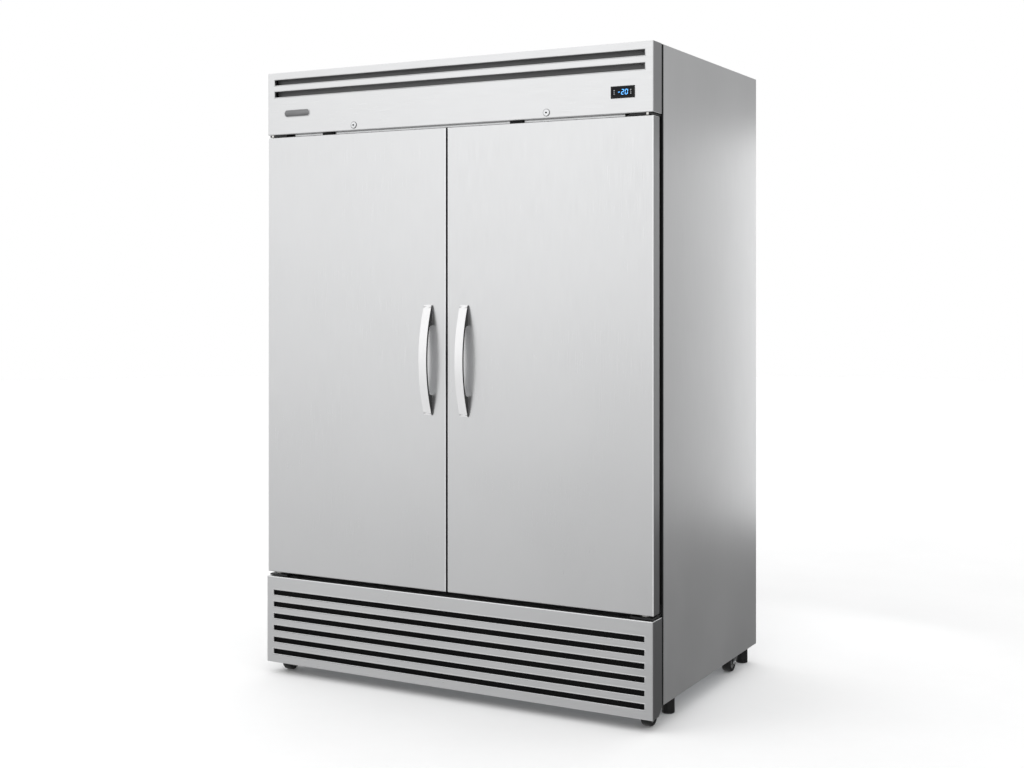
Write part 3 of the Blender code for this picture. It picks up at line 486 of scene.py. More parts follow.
# ---- finishes of the CAD nodes
FINISHES = {
    "door": ("door_skin",),
    "front": ("header_panel", "lower_grille"),
    "side": ("side_panel",),
    "top": ("top_panel",),
    "zinc": ("rear_panel", "rear_vent_panel", "machine_deck", "base_pan", "shroud"),
    "foam": ("foam",),
    "liner": ("liner", "face_frame", "mullion", "evaporator_cover"),
    "lens": ("display_lens",),
    "chrome": ("lock", "shelf", "fork"),
    "black_steel": ("hinge", "compressor"),
    "fins": ("coil",),
    "plastic": ("controller_bezel", "fan", "gland", "foot"),
    "tread": ("wheel",),
    "satin": ("handle",),
    "rubber": ("gasket",),
}


def finish_cad_nodes():
    """Each CAD node gets the first finish that lists a part of its name."""
    for name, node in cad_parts.items():
        found = next(finish for finish, parts in FINISHES.items() if any(part in name for part in parts))
        for holder in node.material_slots:
            holder.material = MATERIALS[found]
        node.data.shade_smooth()
        node.data.set_sharp_from_angle(angle=math.radians(25))


# ---- header
LOCK_RADIUS = 0.01
SWITCH_OFFSET = 0.11             # from a lock's axis to the switch of its door
SLOT_INSET = 0.0265
HEADER_SLOTS = ((1.964, 1.983), (1.924, 1.944))
GRILLE_SLOTS = [(0.262 - 0.0392 * n, 0.28 - 0.0392 * n) for n in range(6)]
LIP = (
    (0.0024, 0.0002), (0.0022, -0.0002), (0.0012, -0.0005), (0.0002, -0.0003), (-0.0006, 0.0005),
    (-0.001, 0.0018), (-0.001, 0.008), (-0.0002, 0.008), (-0.0002, 0.002), (0.001, 0.0008),
)


def build_slot_lips(name, node, slots):
    """The rolled edge round each long slot of a front cover."""
    low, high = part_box(node)
    shape = bmesh.new()
    for bottom, top in slots:
        add_frame(shape, LIP, (low.x + SLOT_INSET, bottom), (high.x - SLOT_INSET, top), low.y)
    make_piece(name, shape, "lip", sharp=50)


def build_header_inside():
    """What shows through the header's slots: a grey baffle, and behind and beside it a black sheet that
    stands in for the shade inside the header (painted shade).
    """
    low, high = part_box("header_panel")
    shape = bmesh.new()
    add_box(shape, at(low.x + 0.024, 0.024, 1.9), at(high.x - 0.004, 0.0255, 2.001))
    add_box(shape, at(low.x + 0.024, 0.024, 1.9), at(high.x - 0.004, 0.05, 1.9015))
    make_piece("header_baffle", shape, "grey_steel")
    shape = bmesh.new()
    # painted shade: a black sheet across the back of the header
    add_box(shape, at(low.x + 0.004, 0.052, 1.83), at(high.x - 0.004, 0.06, 2.004), 0.002)
    make_piece("header_shade_sheet", shape, "rubber")


def add_stadium(shape, middle, half_length, half_height, steps):
    """A plate with round ends, from (inset, height in front of the header) steps."""
    rings = []
    for inset, height in steps:
        radius = half_height - inset
        ring = []
        for turn in circle(32):
            x = math.copysign(half_length - half_height, math.cos(turn)) + radius * math.cos(turn)
            ring.append(shape.verts.new(middle + Vector((x, -height, radius * math.sin(turn)))))
        rings.append(ring)
    close_rings(shape, rings)


def build_nameplate():
    """A blank plate with round ends: a bright raised rim round a darker inlay."""
    middle = Vector((-0.578, FACE, 1.868))
    half_length, half_height = 0.052, 0.0125
    shape = bmesh.new()
    rim = [(0, GAP), (0, 0.0012), (0.0006, 0.0018), (0.0016, 0.0018), (0.002, 0.0011)]
    add_stadium(shape, middle, half_length, half_height, rim)
    make_piece("blank_nameplate", shape, "lip", slot="satin_stainless")
    shape = bmesh.new()
    inlay = [(0.0022, 0.0012), (0.0022, 0.0014), (0.0026, 0.0016)]
    add_stadium(shape, middle, half_length, half_height, inlay)
    make_piece("nameplate_inlay", shape, "plate")


SEGMENTS = {"-": "g", "2": "abged", "0": "abcdef"}
READING = "-20"


def digit_bars(character, width, height):
    """The (start, end) of each lit bar of a seven-segment character, from its lower-left corner."""
    half = height / 2
    bars = {
        "a": ((0, height), (width, height)),
        "b": ((width, height), (width, half)),
        "c": ((width, half), (width, 0)),
        "d": ((0, 0), (width, 0)),
        "e": ((0, half), (0, 0)),
        "f": ((0, height), (0, half)),
        "g": ((0, half), (width, half)),
    }
    return [bars[letter] for letter in SEGMENTS[character]]


def build_display():
    """Three lit characters, and plain arrow and dot keys on both sides of them."""
    low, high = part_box("display_lens")
    middle = (low + high) / 2
    width, height, pitch, thick, slant = 0.0072, 0.014, 0.012, 0.0008, 0.1
    front, back = low.y - 0.0001, low.y - 0.00035
    shape = bmesh.new()
    for n, character in enumerate(READING):
        left = middle.x + (n - 1) * pitch - width / 2
        bottom = middle.z - height / 2
        for start, end in digit_bars(character, width, height):
            run = (Vector(end) - Vector(start)).normalized()
            side = Vector((-run.y, run.x)) * thick
            tip = run * thick
            first = Vector(start) + run * 0.0004
            last = Vector(end) - run * 0.0004
            bar = [first, first + tip + side, last - tip + side]
            bar += [last, last - tip - side, first + tip - side]
            add_prism(shape, [(left + p.x + p.y * slant, bottom + p.y) for p in bar], "Y", front, back)
    make_piece("display_digits", shape, "digit", sharp=20)
    shape = bmesh.new()
    for sign in (-1, 1):
        x = middle.x + sign * 0.0265
        for up in (-1, 1):
            z = middle.z + up * 0.0055
            arrow = [(x - 0.0022, z - 0.0014 * up), (x + 0.0022, z - 0.0014 * up), (x, z + 0.002 * up)]
            add_prism(shape, arrow, "Y", front, back)
        dot = [(0, 0), (0.0012, 0), (0.0012, -0.0003), (0, -0.0003)]
        add_lathe(shape, dot, (x, front, middle.z), "Y", 16)
    make_piece("display_keys", shape, "icon", sharp=20)


def build_deck_apron():
    """A black sheet under the face frame, which hides the machine compartment behind the gap there."""
    shape = bmesh.new()
    frame_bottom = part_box("face_frame")[0].z
    half = 0.66
    add_box(shape, at(-half, 0.0752, frame_bottom - 0.055), at(half, 0.0764, frame_bottom - GAP), 0.0004, 1)
    make_piece("deck_apron", shape, "black_steel")


def build_gap_fittings(side):
    """What shows in the gaps over and under a door: a switch, screws, bushings and a spacer at the hinge."""
    body = f"{side}_door"
    sign = SIDES[side]
    lock_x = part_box(f"{side}_lock_barrel")[0].x + LOCK_RADIUS
    x = lock_x - SWITCH_OFFSET
    shape = bmesh.new()
    add_box(shape, at(x - 0.0225, 0.012, 1.7918), at(x + 0.0225, 0.05, 1.7986), 0.001)
    add_box(shape, at(x - 0.004, 0.006, 1.7908), at(x + 0.012, 0.03, 1.7925), 0.0006)
    make_piece(f"{side}_door_switch", shape, "plastic")
    shape = bmesh.new()
    add_screws(shape, [at(lock_x + 0.045 + n * 0.014, 0.014, DOOR_TOP) for n in (0, 1)], "Z", 1, 0.0032)
    make_piece(f"{side}_catch_screws", shape, "black_steel", body)

    pin_x = sign * (HALF - 0.034)
    bore = 0.0068
    bushings = {
        "top": (DOOR_TOP, GAP, ((0.0105, GAP), (0.011, 0.0008), (0.0105, 0.0022), (bore, 0.0022))),
        "bottom": (DOOR_BOTTOM, -GAP, ((0.012, -GAP), (0.012, -0.0045), (0.01, -0.0066), (bore, -0.0066))),
    }
    for end, (edge, start, outside) in bushings.items():
        shape = bmesh.new()
        add_lathe(shape, [(bore, start), *outside, (bore, start)], at(pin_x, 0.025, edge), "Z", 24)
        make_piece(f"{side}_{end}_bushing", shape, "nylon", body)
    shape = bmesh.new()
    x = pin_x + sign * 0.0146
    start = at(x - 0.0036, 0.0003, DOOR_TOP + 0.0018)
    add_box(shape, start, at(x + 0.0036, 0.0037, DOOR_TOP + 0.0088), 0.0012)
    make_piece(f"{side}_hinge_spacer", shape, "nylon")
    shape = bmesh.new()
    low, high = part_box(f"{side}_bottom_hinge")
    bolts = [(x, high.y - 0.003, low.z + 0.018) for x in (low.x + 0.014, high.x - 0.014)]
    add_screws(shape, bolts, "Y", -1, 0.0045)
    make_piece(f"{side}_hinge_bolts", shape, "chrome")


def build_header_channel():
    """A folded strip behind the gap over the doors, broken where the door switches sit."""
    half = 0.6
    near, far = 0.02, 0.0212
    shape = bmesh.new()
    stops = [-half]
    for side in SIDES:
        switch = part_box(f"{side}_lock_barrel")[0].x + LOCK_RADIUS - SWITCH_OFFSET
        stops += [switch - 0.0235, switch + 0.0235]
    stops.append(half)
    for low, high in zip(stops[::2], stops[1::2]):
        add_box(shape, at(low, near, DOOR_TOP + 0.0025), at(high, far, DOOR_TOP + 0.0087), 0.0004, 1)
    make_piece("header_channel", shape, "lip")


def build_lock_trim(side):
    """A dark ring round the lock's barrel, which stands in for the shadow gap there (painted shade), and a
    recessed keyhole plate on its plug.
    """
    low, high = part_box(f"{side}_lock_barrel")
    middle = (low + high) / 2
    radius = (high.x - low.x) / 2
    shape = bmesh.new()
    # painted shade: the dark outline round the barrel
    shade_ring = [(0.0003, -GAP), (0.0016, -GAP), (0.0014, -0.0011), (0.0003, -0.0014), (0.0003, -GAP)]
    add_lathe(shape, [(radius + out, up) for out, up in shade_ring], (middle.x, FACE, middle.z), "Y", 32)
    make_piece(f"{side}_lock_shade_ring", shape, "grey_steel")
    shape = bmesh.new()
    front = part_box(f"{side}_lock_plug")[0].y
    key = [(0.0, -0.0001), (0.0024, -0.0001), (0.003, -0.0004), (0.003, -0.0008), (0.0, -0.0008)]
    add_lathe(shape, key, (middle.x, front, middle.z), "Y", 24)
    make_piece(f"{side}_lock_keyhole", shape, "plastic", f"{side}_lock", slot="chrome")


# ---- doors
HANDLE_END_REACH, GRIP_HALF, GRIP_THICKNESS = 0.005, 0.109, 0.008


def arc_reach(height, half_length, rise):
    """How far an arc stands out from its chord, at a height from its middle."""
    radius = (half_length**2 + rise**2) / (2 * rise)
    return math.sqrt(radius**2 - height**2) - (radius - rise)


def build_handle(side):
    """The arched pull: a strip on two solid feet, with a finger gap and rounded inner corners."""
    node = f"{side}_door_handle"
    low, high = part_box(node)
    middle = (low.z + high.z) / 2
    half_length = (high.z - low.z) / 2
    back = high.y
    rise = high.y - low.y - HANDLE_END_REACH
    steps = 56

    def front(height):
        return back - HANDLE_END_REACH - arc_reach(height, half_length, rise)

    outline = [(back, middle - half_length)]
    outline += [(front(h), middle + h) for h in evenly(-half_length, half_length, steps + 1)]
    outline += [(back, middle + half_length), (back, middle + GRIP_HALF)]
    fillet = 0.006
    corner = front(GRIP_HALF) + GRIP_THICKNESS
    turns = evenly(0, math.pi / 2, 5)
    drops = [(fillet * (1 - math.sin(t)), fillet * (1 - math.cos(t))) for t in turns]
    outline += [(corner + out, middle + (GRIP_HALF - drop)) for out, drop in drops]
    run = evenly(GRIP_HALF - fillet - 0.004, 0.004 + fillet - GRIP_HALF, steps + 1)
    outline += [(front(h) + GRIP_THICKNESS, middle + h) for h in run]
    outline += [(corner + out, middle - (GRIP_HALF - drop)) for out, drop in reversed(drops)]
    outline.append((back, middle - GRIP_HALF))
    shape = bmesh.new()
    ends = add_prism(shape, outline, "X", low.x, high.x)
    rims = list(dict.fromkeys(edge for end in ends for edge in end.edges))
    bmesh.ops.bevel(
        shape, geom=rims, offset=0.0014, segments=3, profile=0.5, affect="EDGES", clamp_overlap=True
    )
    make_piece(f"{side}_handle_pull", shape, "pull", f"{side}_door", sharp=40, stands_for=[node])


GASKET_HALF = [
    (-0.007, 0.0264), (-0.008, 0.0254), (-0.008, 0.0205), (-0.0074, 0.0185), (-0.006, 0.016),
    (-0.008, 0.0125), (-0.0055, 0.009), (-0.008, 0.006), (-0.0055, 0.003), (-0.005, 0.0),
]


def build_door_inside(side):
    """The gasket with its bellows folds, and the pressed inner panel."""
    body = f"{side}_door"
    low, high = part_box(f"{side}_door_gasket")
    shape = bmesh.new()
    inset = 0.008
    corners = (low.x + inset, low.z + inset), (high.x - inset, high.z - inset)
    add_frame(shape, there_and_back(GASKET_HALF), *corners, low.y)
    make_piece(f"{side}_door_seal", shape, "rubber", body, sharp=50, stands_for=[f"{side}_door_gasket"])

    low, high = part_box(f"{side}_door_liner")
    steps = [
        (0.0, 0.0), (0.0, 0.006), (0.0012, 0.01), (0.0045, 0.013), (0.009, 0.0137), (0.038, 0.0137),
        (0.042, 0.0128), (0.048, 0.0085), (0.052, 0.0076), (0.09, 0.0076), (0.0915, 0.007),
        (0.0935, 0.007), (0.095, 0.0076),
    ]
    shape = bmesh.new()
    add_nest(shape, (low.x, low.z), (high.x, high.z), lambda a, b, h: (a, low.y + h, b), steps)
    make_piece(f"{side}_door_panel", shape, "liner", body, sharp=40, stands_for=[f"{side}_door_liner"])

    shape = bmesh.new()
    spots = []
    for z in evenly(low.z + 0.06, high.z - 0.06, 5):
        spots += [(low.x + 0.02, high.y - 0.0001, z), (high.x - 0.02, high.y - 0.0001, z)]
    for x in evenly(low.x + 0.16, high.x - 0.16, 3):
        spots += [(x, high.y - 0.0001, low.z + 0.02), (x, high.y - 0.0001, high.z - 0.02)]
    add_screws(shape, spots, "Y", 1, 0.0035)
    make_piece(f"{side}_panel_rivets", shape, "chrome", body)


# ---- inside the cabinet
STANDARD_PITCH = 0.0254
STANDARD_BOTTOM, STANDARD_TOP = 0.43, 1.73
SHELF_WIRE, SHELF_RAIL = 0.0016, 0.0028


def build_standards():
    """Slotted shelf standards: two on each outer wall, one on the post and one on the rear wall."""
    low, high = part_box("inner_liner")
    wall = high.x - 0.0015
    thick, wide = 0.005, 0.016
    post_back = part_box("centre_mullion")[1].y + GAP
    rear_wall = high.y - 0.0015
    strips = {"post": (0, post_back, True), "middle_rear": (0, rear_wall - thick, True)}
    for side, sign in SIDES.items():
        for end, distance in (("front", 0.165), ("rear", 0.765)):
            strips[f"{side}_{end}"] = (sign * (wall - thick / 2), FACE + distance, False)
    rails = ((-wide / 2, -0.003), (0.003, wide / 2))
    for name, (x, y, faces_front) in strips.items():
        shape = bmesh.new()
        if faces_front:
            spans = [((x + a, y), (x + b, y + thick)) for a, b in rails]
            rung = ((x - 0.003, y), (x + 0.003, y + 0.002))
        else:
            half = thick / 2
            spans = [((x - half, y + a), (x + half, y + b)) for a, b in rails]
            rung = ((x - half * 0.5, y - 0.003), (x + half * 0.5, y + 0.003))
        for start, end in spans:
            add_box(shape, (*start, STANDARD_BOTTOM), (*end, STANDARD_TOP), 0.0006, 1)
        for n in range(int((STANDARD_TOP - STANDARD_BOTTOM) / STANDARD_PITCH) + 1):
            z = STANDARD_BOTTOM + n * STANDARD_PITCH
            add_box(shape, (*rung[0], z), (*rung[1], z + 0.012), 0)
        make_piece(f"{name}_shelf_standard", shape, "liner")


def build_shelf(side, height):
    """A wire shelf: a border rod, rods across, and close wires along it that turn down at the front."""
    node = f"{side}_{height}_shelf"
    low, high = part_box(node)
    top = high.z
    rail_z = top - 2 * SHELF_WIRE - SHELF_RAIL + 0.0004
    shape = bmesh.new()
    left, right = low.x + SHELF_RAIL, high.x - SHELF_RAIL
    front, back = low.y + SHELF_RAIL, high.y - SHELF_RAIL
    border = [(left, front, rail_z), (right, front, rail_z), (right, back, rail_z), (left, back, rail_z)]
    add_tube(shape, rounded_path(border, 0.012, 4, closed=True), SHELF_RAIL, 10, closed=True)
    for y in evenly(low.y + 0.12, high.y - 0.12, 4):
        add_rod(shape, (left, y, rail_z), (right, y, rail_z), SHELF_RAIL * 0.85)
    for x in evenly(low.x + 0.022, high.x - 0.022, 24):
        wire = [
            (x, low.y + SHELF_WIRE, rail_z - 0.003),
            (x, low.y + SHELF_WIRE, top - SHELF_WIRE),
            (x, high.y - SHELF_WIRE, top - SHELF_WIRE),
        ]
        add_tube(shape, rounded_path(wire, 0.003, 3), SHELF_WIRE, 8)
    make_piece(f"{side}_{height}_wire_shelf", shape, "chrome", sharp=40, stands_for=[node])

    shape = bmesh.new()
    sign = SIDES[side]
    clip_top = rail_z - SHELF_RAIL - GAP
    outer = sign * (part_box("inner_liner")[1].x - 0.007)
    for distance in (0.165, 0.765):
        for length, half, drop in ((0.03, 0.008, 0.003), (0.003, 0.006, 0.026)):
            start = at(outer, distance - half, clip_top - drop)
            add_box(shape, start, at(outer - sign * length, distance + half, clip_top))
    for distance in (0.113, 0.8):
        start = at(sign * 0.002, distance, clip_top - 0.003)
        add_box(shape, start, at(sign * 0.034, distance + 0.026, clip_top))
    make_piece(f"{side}_{height}_shelf_clips", shape, "chrome")


def add_fins(shape, places, thickness, low, high):
    """Thin upright plates across X, between two (Y, Z) corners."""
    for x in places:
        add_box(shape, (x - thickness / 2, *low), (x + thickness / 2, *high), 0)


def build_evaporator():
    """The finned coil in the cover, a guard under each fan, and the fans' motors."""
    low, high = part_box("evaporator_cover")
    shape = bmesh.new()
    corners = (low.y + 0.27, low.z + 0.02), (high.y - 0.03, high.z - 0.02)
    add_fins(shape, evenly(low.x + 0.06, high.x - 0.06, 90), 0.0004, *corners)
    for z in evenly(low.z + 0.04, high.z - 0.04, 4):
        for y in evenly(low.y + 0.3, high.y - 0.06, 4):
            add_rod(shape, (low.x + 0.04, y, z), (high.x - 0.04, y, z), 0.0048)
    make_piece("evaporator_fins", shape, "aluminium")
    for side in SIDES:
        fan_low, fan_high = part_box(f"{side}_evaporator_fan")
        centre = (fan_low + fan_high) / 2
        shape = bmesh.new()
        guard = Vector((centre.x, centre.y, low.z - 0.004))
        for radius in (0.022, 0.038, 0.054, 0.07, 0.086, 0.104):
            add_tube(shape, [guard + radius * across for across in spokes(40)], 0.0012, 6, closed=True)
        for across in spokes(6):
            start = guard + Vector((0, 0, 0.0018)) + across * 0.018
            add_rod(shape, start, start + across * 0.092, 0.0014, 6)
        make_piece(f"{side}_fan_guard", shape, "chrome")
        shape = bmesh.new()
        motor = [(0, 0.0), (0.026, 0.0), (0.03, 0.006), (0.03, 0.044), (0.02, 0.052), (0, 0.052)]
        add_lathe(shape, motor, (centre.x, centre.y, fan_high.z + 0.004), "Z", 28)
        for across in spokes(3):
            start = Vector((centre.x, centre.y, fan_high.z + 0.022)) + across * 0.028
            add_rod(shape, start, start + across * 0.078, 0.003, 8)
        make_piece(f"{side}_fan_motor", shape, "black_steel")


def build_cabinet_fittings():
    """The lamp inside the front, with its bracket, and the temperature probe."""
    shape = bmesh.new()
    add_box(shape, at(-0.34, 0.112, 1.762), at(0.34, 0.14, 1.776), 0.004, 3)
    make_piece("interior_lamp", shape, "lamp")
    shape = bmesh.new()
    add_box(shape, at(-0.36, 0.104, 1.776), at(0.36, 0.15, 1.78), 0.001)
    make_piece("lamp_bracket", shape, "liner")
    shape = bmesh.new()
    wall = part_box("inner_liner")[1].x - 0.0015
    add_rod(shape, at(wall - 0.01, 0.6, 1.7), at(wall - 0.01, 0.66, 1.7), 0.004, 16)
    add_box(shape, at(wall, 0.615, 1.692), at(wall - 0.012, 0.622, 1.708))
    add_box(shape, at(wall, 0.64, 1.692), at(wall - 0.012, 0.647, 1.708))
    make_piece("temperature_probe", shape, "nylon")


# ---- machine compartment
def build_air_filter():
    """The black filter mesh close behind the grille's slots: a sheet with slanted ribs."""
    half, bottom, top = 0.69, 0.05, 0.306
    front, back = 0.0045, 0.008
    shape = bmesh.new()
    add_box(shape, at(-half, front, bottom), at(half, back, top), 0.0006, 1)
    lean, rise, pitch = 0.03, 0.042, 0.011
    for n in range(int((2 * half - lean) / pitch)):
        x = -half + n * pitch
        for low in evenly(bottom + 0.001, top - 0.001 - rise, 6):
            add_rod(shape, at(x, front, low), at(x + lean, front, low + rise), 0.0009, 4)
    make_piece("air_filter", shape, "mesh")


def build_condenser():
    """Upright fins on level tubes, with return bends outside the end plates."""
    low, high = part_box("condenser_coil")
    shape = bmesh.new()
    plate = 0.0012
    corners = (low.y + 0.001, low.z + 0.003), (high.y - 0.001, high.z - 0.003)
    add_fins(shape, evenly(low.x + 0.022, high.x - 0.022, 200), 0.0003, *corners)
    for x in (low.x + 0.018, high.x - 0.018):
        add_box(shape, (x - plate, low.y, low.z), (x + plate, high.y, high.z), 0.0004, 1)
    levels = evenly(low.z + 0.016, high.z - 0.016, 8)
    middle = (low.y + high.y) / 2
    for z in levels:
        add_rod(shape, (low.x + 0.014, middle, z), (high.x - 0.014, middle, z), 0.0046)
    turn = (levels[1] - levels[0]) / 2
    arc = [(turn * math.sin(t) * 0.9, turn - turn * math.cos(t)) for t in evenly(0, math.pi, 9)]
    for sign, edge, pairs in ((1, high.x, levels[0::2]), (-1, low.x, levels[1:-1:2])):
        for z in pairs:
            add_tube(shape, [(edge - sign * (0.014 - out), middle, z + up) for out, up in arc], 0.0046, 8)
    make_piece("condenser_fin_block", shape, "fins", stands_for=["condenser_coil"])


def build_fan_motor():
    """The condenser fan's motor on a three-armed bracket behind the shroud."""
    low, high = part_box("condenser_fan")
    centre = (low + high) / 2
    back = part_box("condenser_fan_shroud")[1].y
    shape = bmesh.new()
    motor = [(0, 0), (0.03, 0), (0.034, 0.005), (0.034, 0.05), (0.026, 0.058), (0.01, 0.058), (0, 0.062)]
    add_lathe(shape, motor, (centre.x, back + 0.002, centre.z), "Y", 28)
    for turn in circle(3):
        across = Vector((math.sin(turn), 0, math.cos(turn)))
        start = Vector((centre.x, back + 0.008, centre.z)) + across * 0.032
        end = Vector((centre.x, back + 0.003, centre.z)) + across * 0.108
        add_rod(shape, start, end, 0.0035, 8)
    make_piece("condenser_fan_motor", shape, "black_steel")


def build_compressor_fittings():
    """The compressor's seam, feet, terminal box and refrigerant tubes."""
    low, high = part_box("compressor")
    centre = (low + high) / 2
    radius = (high.x - low.x) / 2
    floor = low.z
    shape = bmesh.new()
    base = Vector((centre.x, centre.y, floor))
    seam = [(-0.004, 0.098), (0.003, 0.099), (0.003, 0.103), (-0.004, 0.104)]
    add_lathe(shape, [(radius + out, up) for out, up in seam], base, "Z", 48)
    pad = [(0, 0.0005), (0.013, 0.0005), (0.013, 0.008), (0.009, 0.014), (0, 0.014)]
    for across in spokes(4, math.pi / 4):
        foot = base + across * (radius + 0.016)
        add_lathe(shape, pad, foot, "Z", 20)
        add_lathe(shape, [(r, 0.014 + h) for r, h in screw_profile(0.007)], foot, "Z", 12)
    make_piece("compressor_fittings", shape, "rubber", slot="black_steel")
    shape = bmesh.new()
    near = (centre.x - 0.03, low.y - 0.03, floor + 0.07)
    add_box(shape, near, (centre.x + 0.03, low.y + 0.006, floor + 0.14), 0.004, 3)
    make_piece("compressor_terminal_box", shape, "plastic")
    shape = bmesh.new()
    coil_low, coil_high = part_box("condenser_coil")
    discharge = [
        (centre.x + 0.03, low.y + 0.004, floor + 0.05),
        (centre.x + 0.03, low.y - 0.06, floor + 0.05),
        (centre.x + 0.03, low.y - 0.06, coil_high.z - 0.02),
        (coil_high.x - 0.006, coil_high.y + 0.03, coil_high.z - 0.02),
        (coil_high.x - 0.006, coil_high.y - 0.018, coil_high.z - 0.02),
    ]
    add_tube(shape, rounded_path(discharge, 0.018), 0.0032, 10)
    suction = [
        (centre.x - 0.04, centre.y, high.z - 0.03),
        (centre.x - 0.04, centre.y, high.z + 0.03),
        (centre.x - 0.12, centre.y + 0.12, high.z + 0.03),
        (centre.x - 0.12, centre.y + 0.12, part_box("machine_deck")[0].z - 0.0005),
    ]
    add_tube(shape, rounded_path(suction, 0.016), 0.0048, 10)
    drier = [(0, 0), (0.004, 0.004), (0.01, 0.014), (0.01, 0.084), (0.004, 0.094), (0, 0.098)]
    add_lathe(shape, drier, (centre.x - 0.16, FACE + 0.26, floor + 0.02), "Z", 20)
    make_piece("refrigerant_tubes", shape, "copper")


def build_tray_and_box():
    """The drain tray and the electrical box on the base pan."""
    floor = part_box("base_pan")[1].z + GAP
    shape = bmesh.new()
    low, high = at(-0.46, 0.4, 0), at(-0.1, 0.7, 0)
    steps = [(0.01, 0.0), (0.0, 0.05), (-0.004, 0.052), (-0.004, 0.055), (0.003, 0.055), (0.013, 0.003)]
    add_nest(shape, (low.x, low.y), (high.x, high.y), lambda a, b, h: (a, b, floor + h), steps)
    make_piece("drain_tray", shape, "plastic", sharp=40)
    shape = bmesh.new()
    add_box(shape, at(0.46, 0.62, floor), at(0.63, 0.8, floor + 0.11), 0.003)
    add_box(shape, at(0.455, 0.615, floor + 0.108), at(0.635, 0.805, floor + 0.112), 0.001)
    make_piece("electrical_box", shape, "zinc")


# ---- back and top
def build_outside_screws():
    """Screw heads round the back panels and along the header's flange."""
    low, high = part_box("rear_panel")
    back = high.y
    places = []
    for z in evenly(low.z + 0.06, high.z - 0.03, 7):
        places += [(low.x + 0.012, back, z), (high.x - 0.012, back, z)]
    for x in evenly(low.x + 0.22, high.x - 0.22, 5):
        places += [(x, back, high.z - 0.012), (x, back, low.z + 0.014)]
    vent_low, vent_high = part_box("rear_vent_panel")
    for x in evenly(vent_low.x + 0.014, vent_high.x - 0.014, 6):
        places += [(x, back, vent_high.z - 0.014), (x, back, vent_low.z + 0.014)]
    shape = bmesh.new()
    add_screws(shape, places, "Y", 1, 0.0042)
    make_piece("rear_screws", shape, "chrome")
    shape = bmesh.new()
    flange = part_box("header_panel")[1]
    places = [(x, flange.y - 0.01, flange.z - 0.0012) for x in evenly(-0.62, 0.62, 6)]
    add_screws(shape, places, "Z", 1, 0.0019)
    make_piece("top_screws", shape, "chrome")


# ---- castors and feet
def wheel_profile(half_profile):
    """A closed (radius, height) profile from the (height, radius) points of one half, inside to outside."""
    points = [(-height, radius) for height, radius in half_profile]
    return [(radius, height) for height, radius in there_and_back(points) + points[:1]]


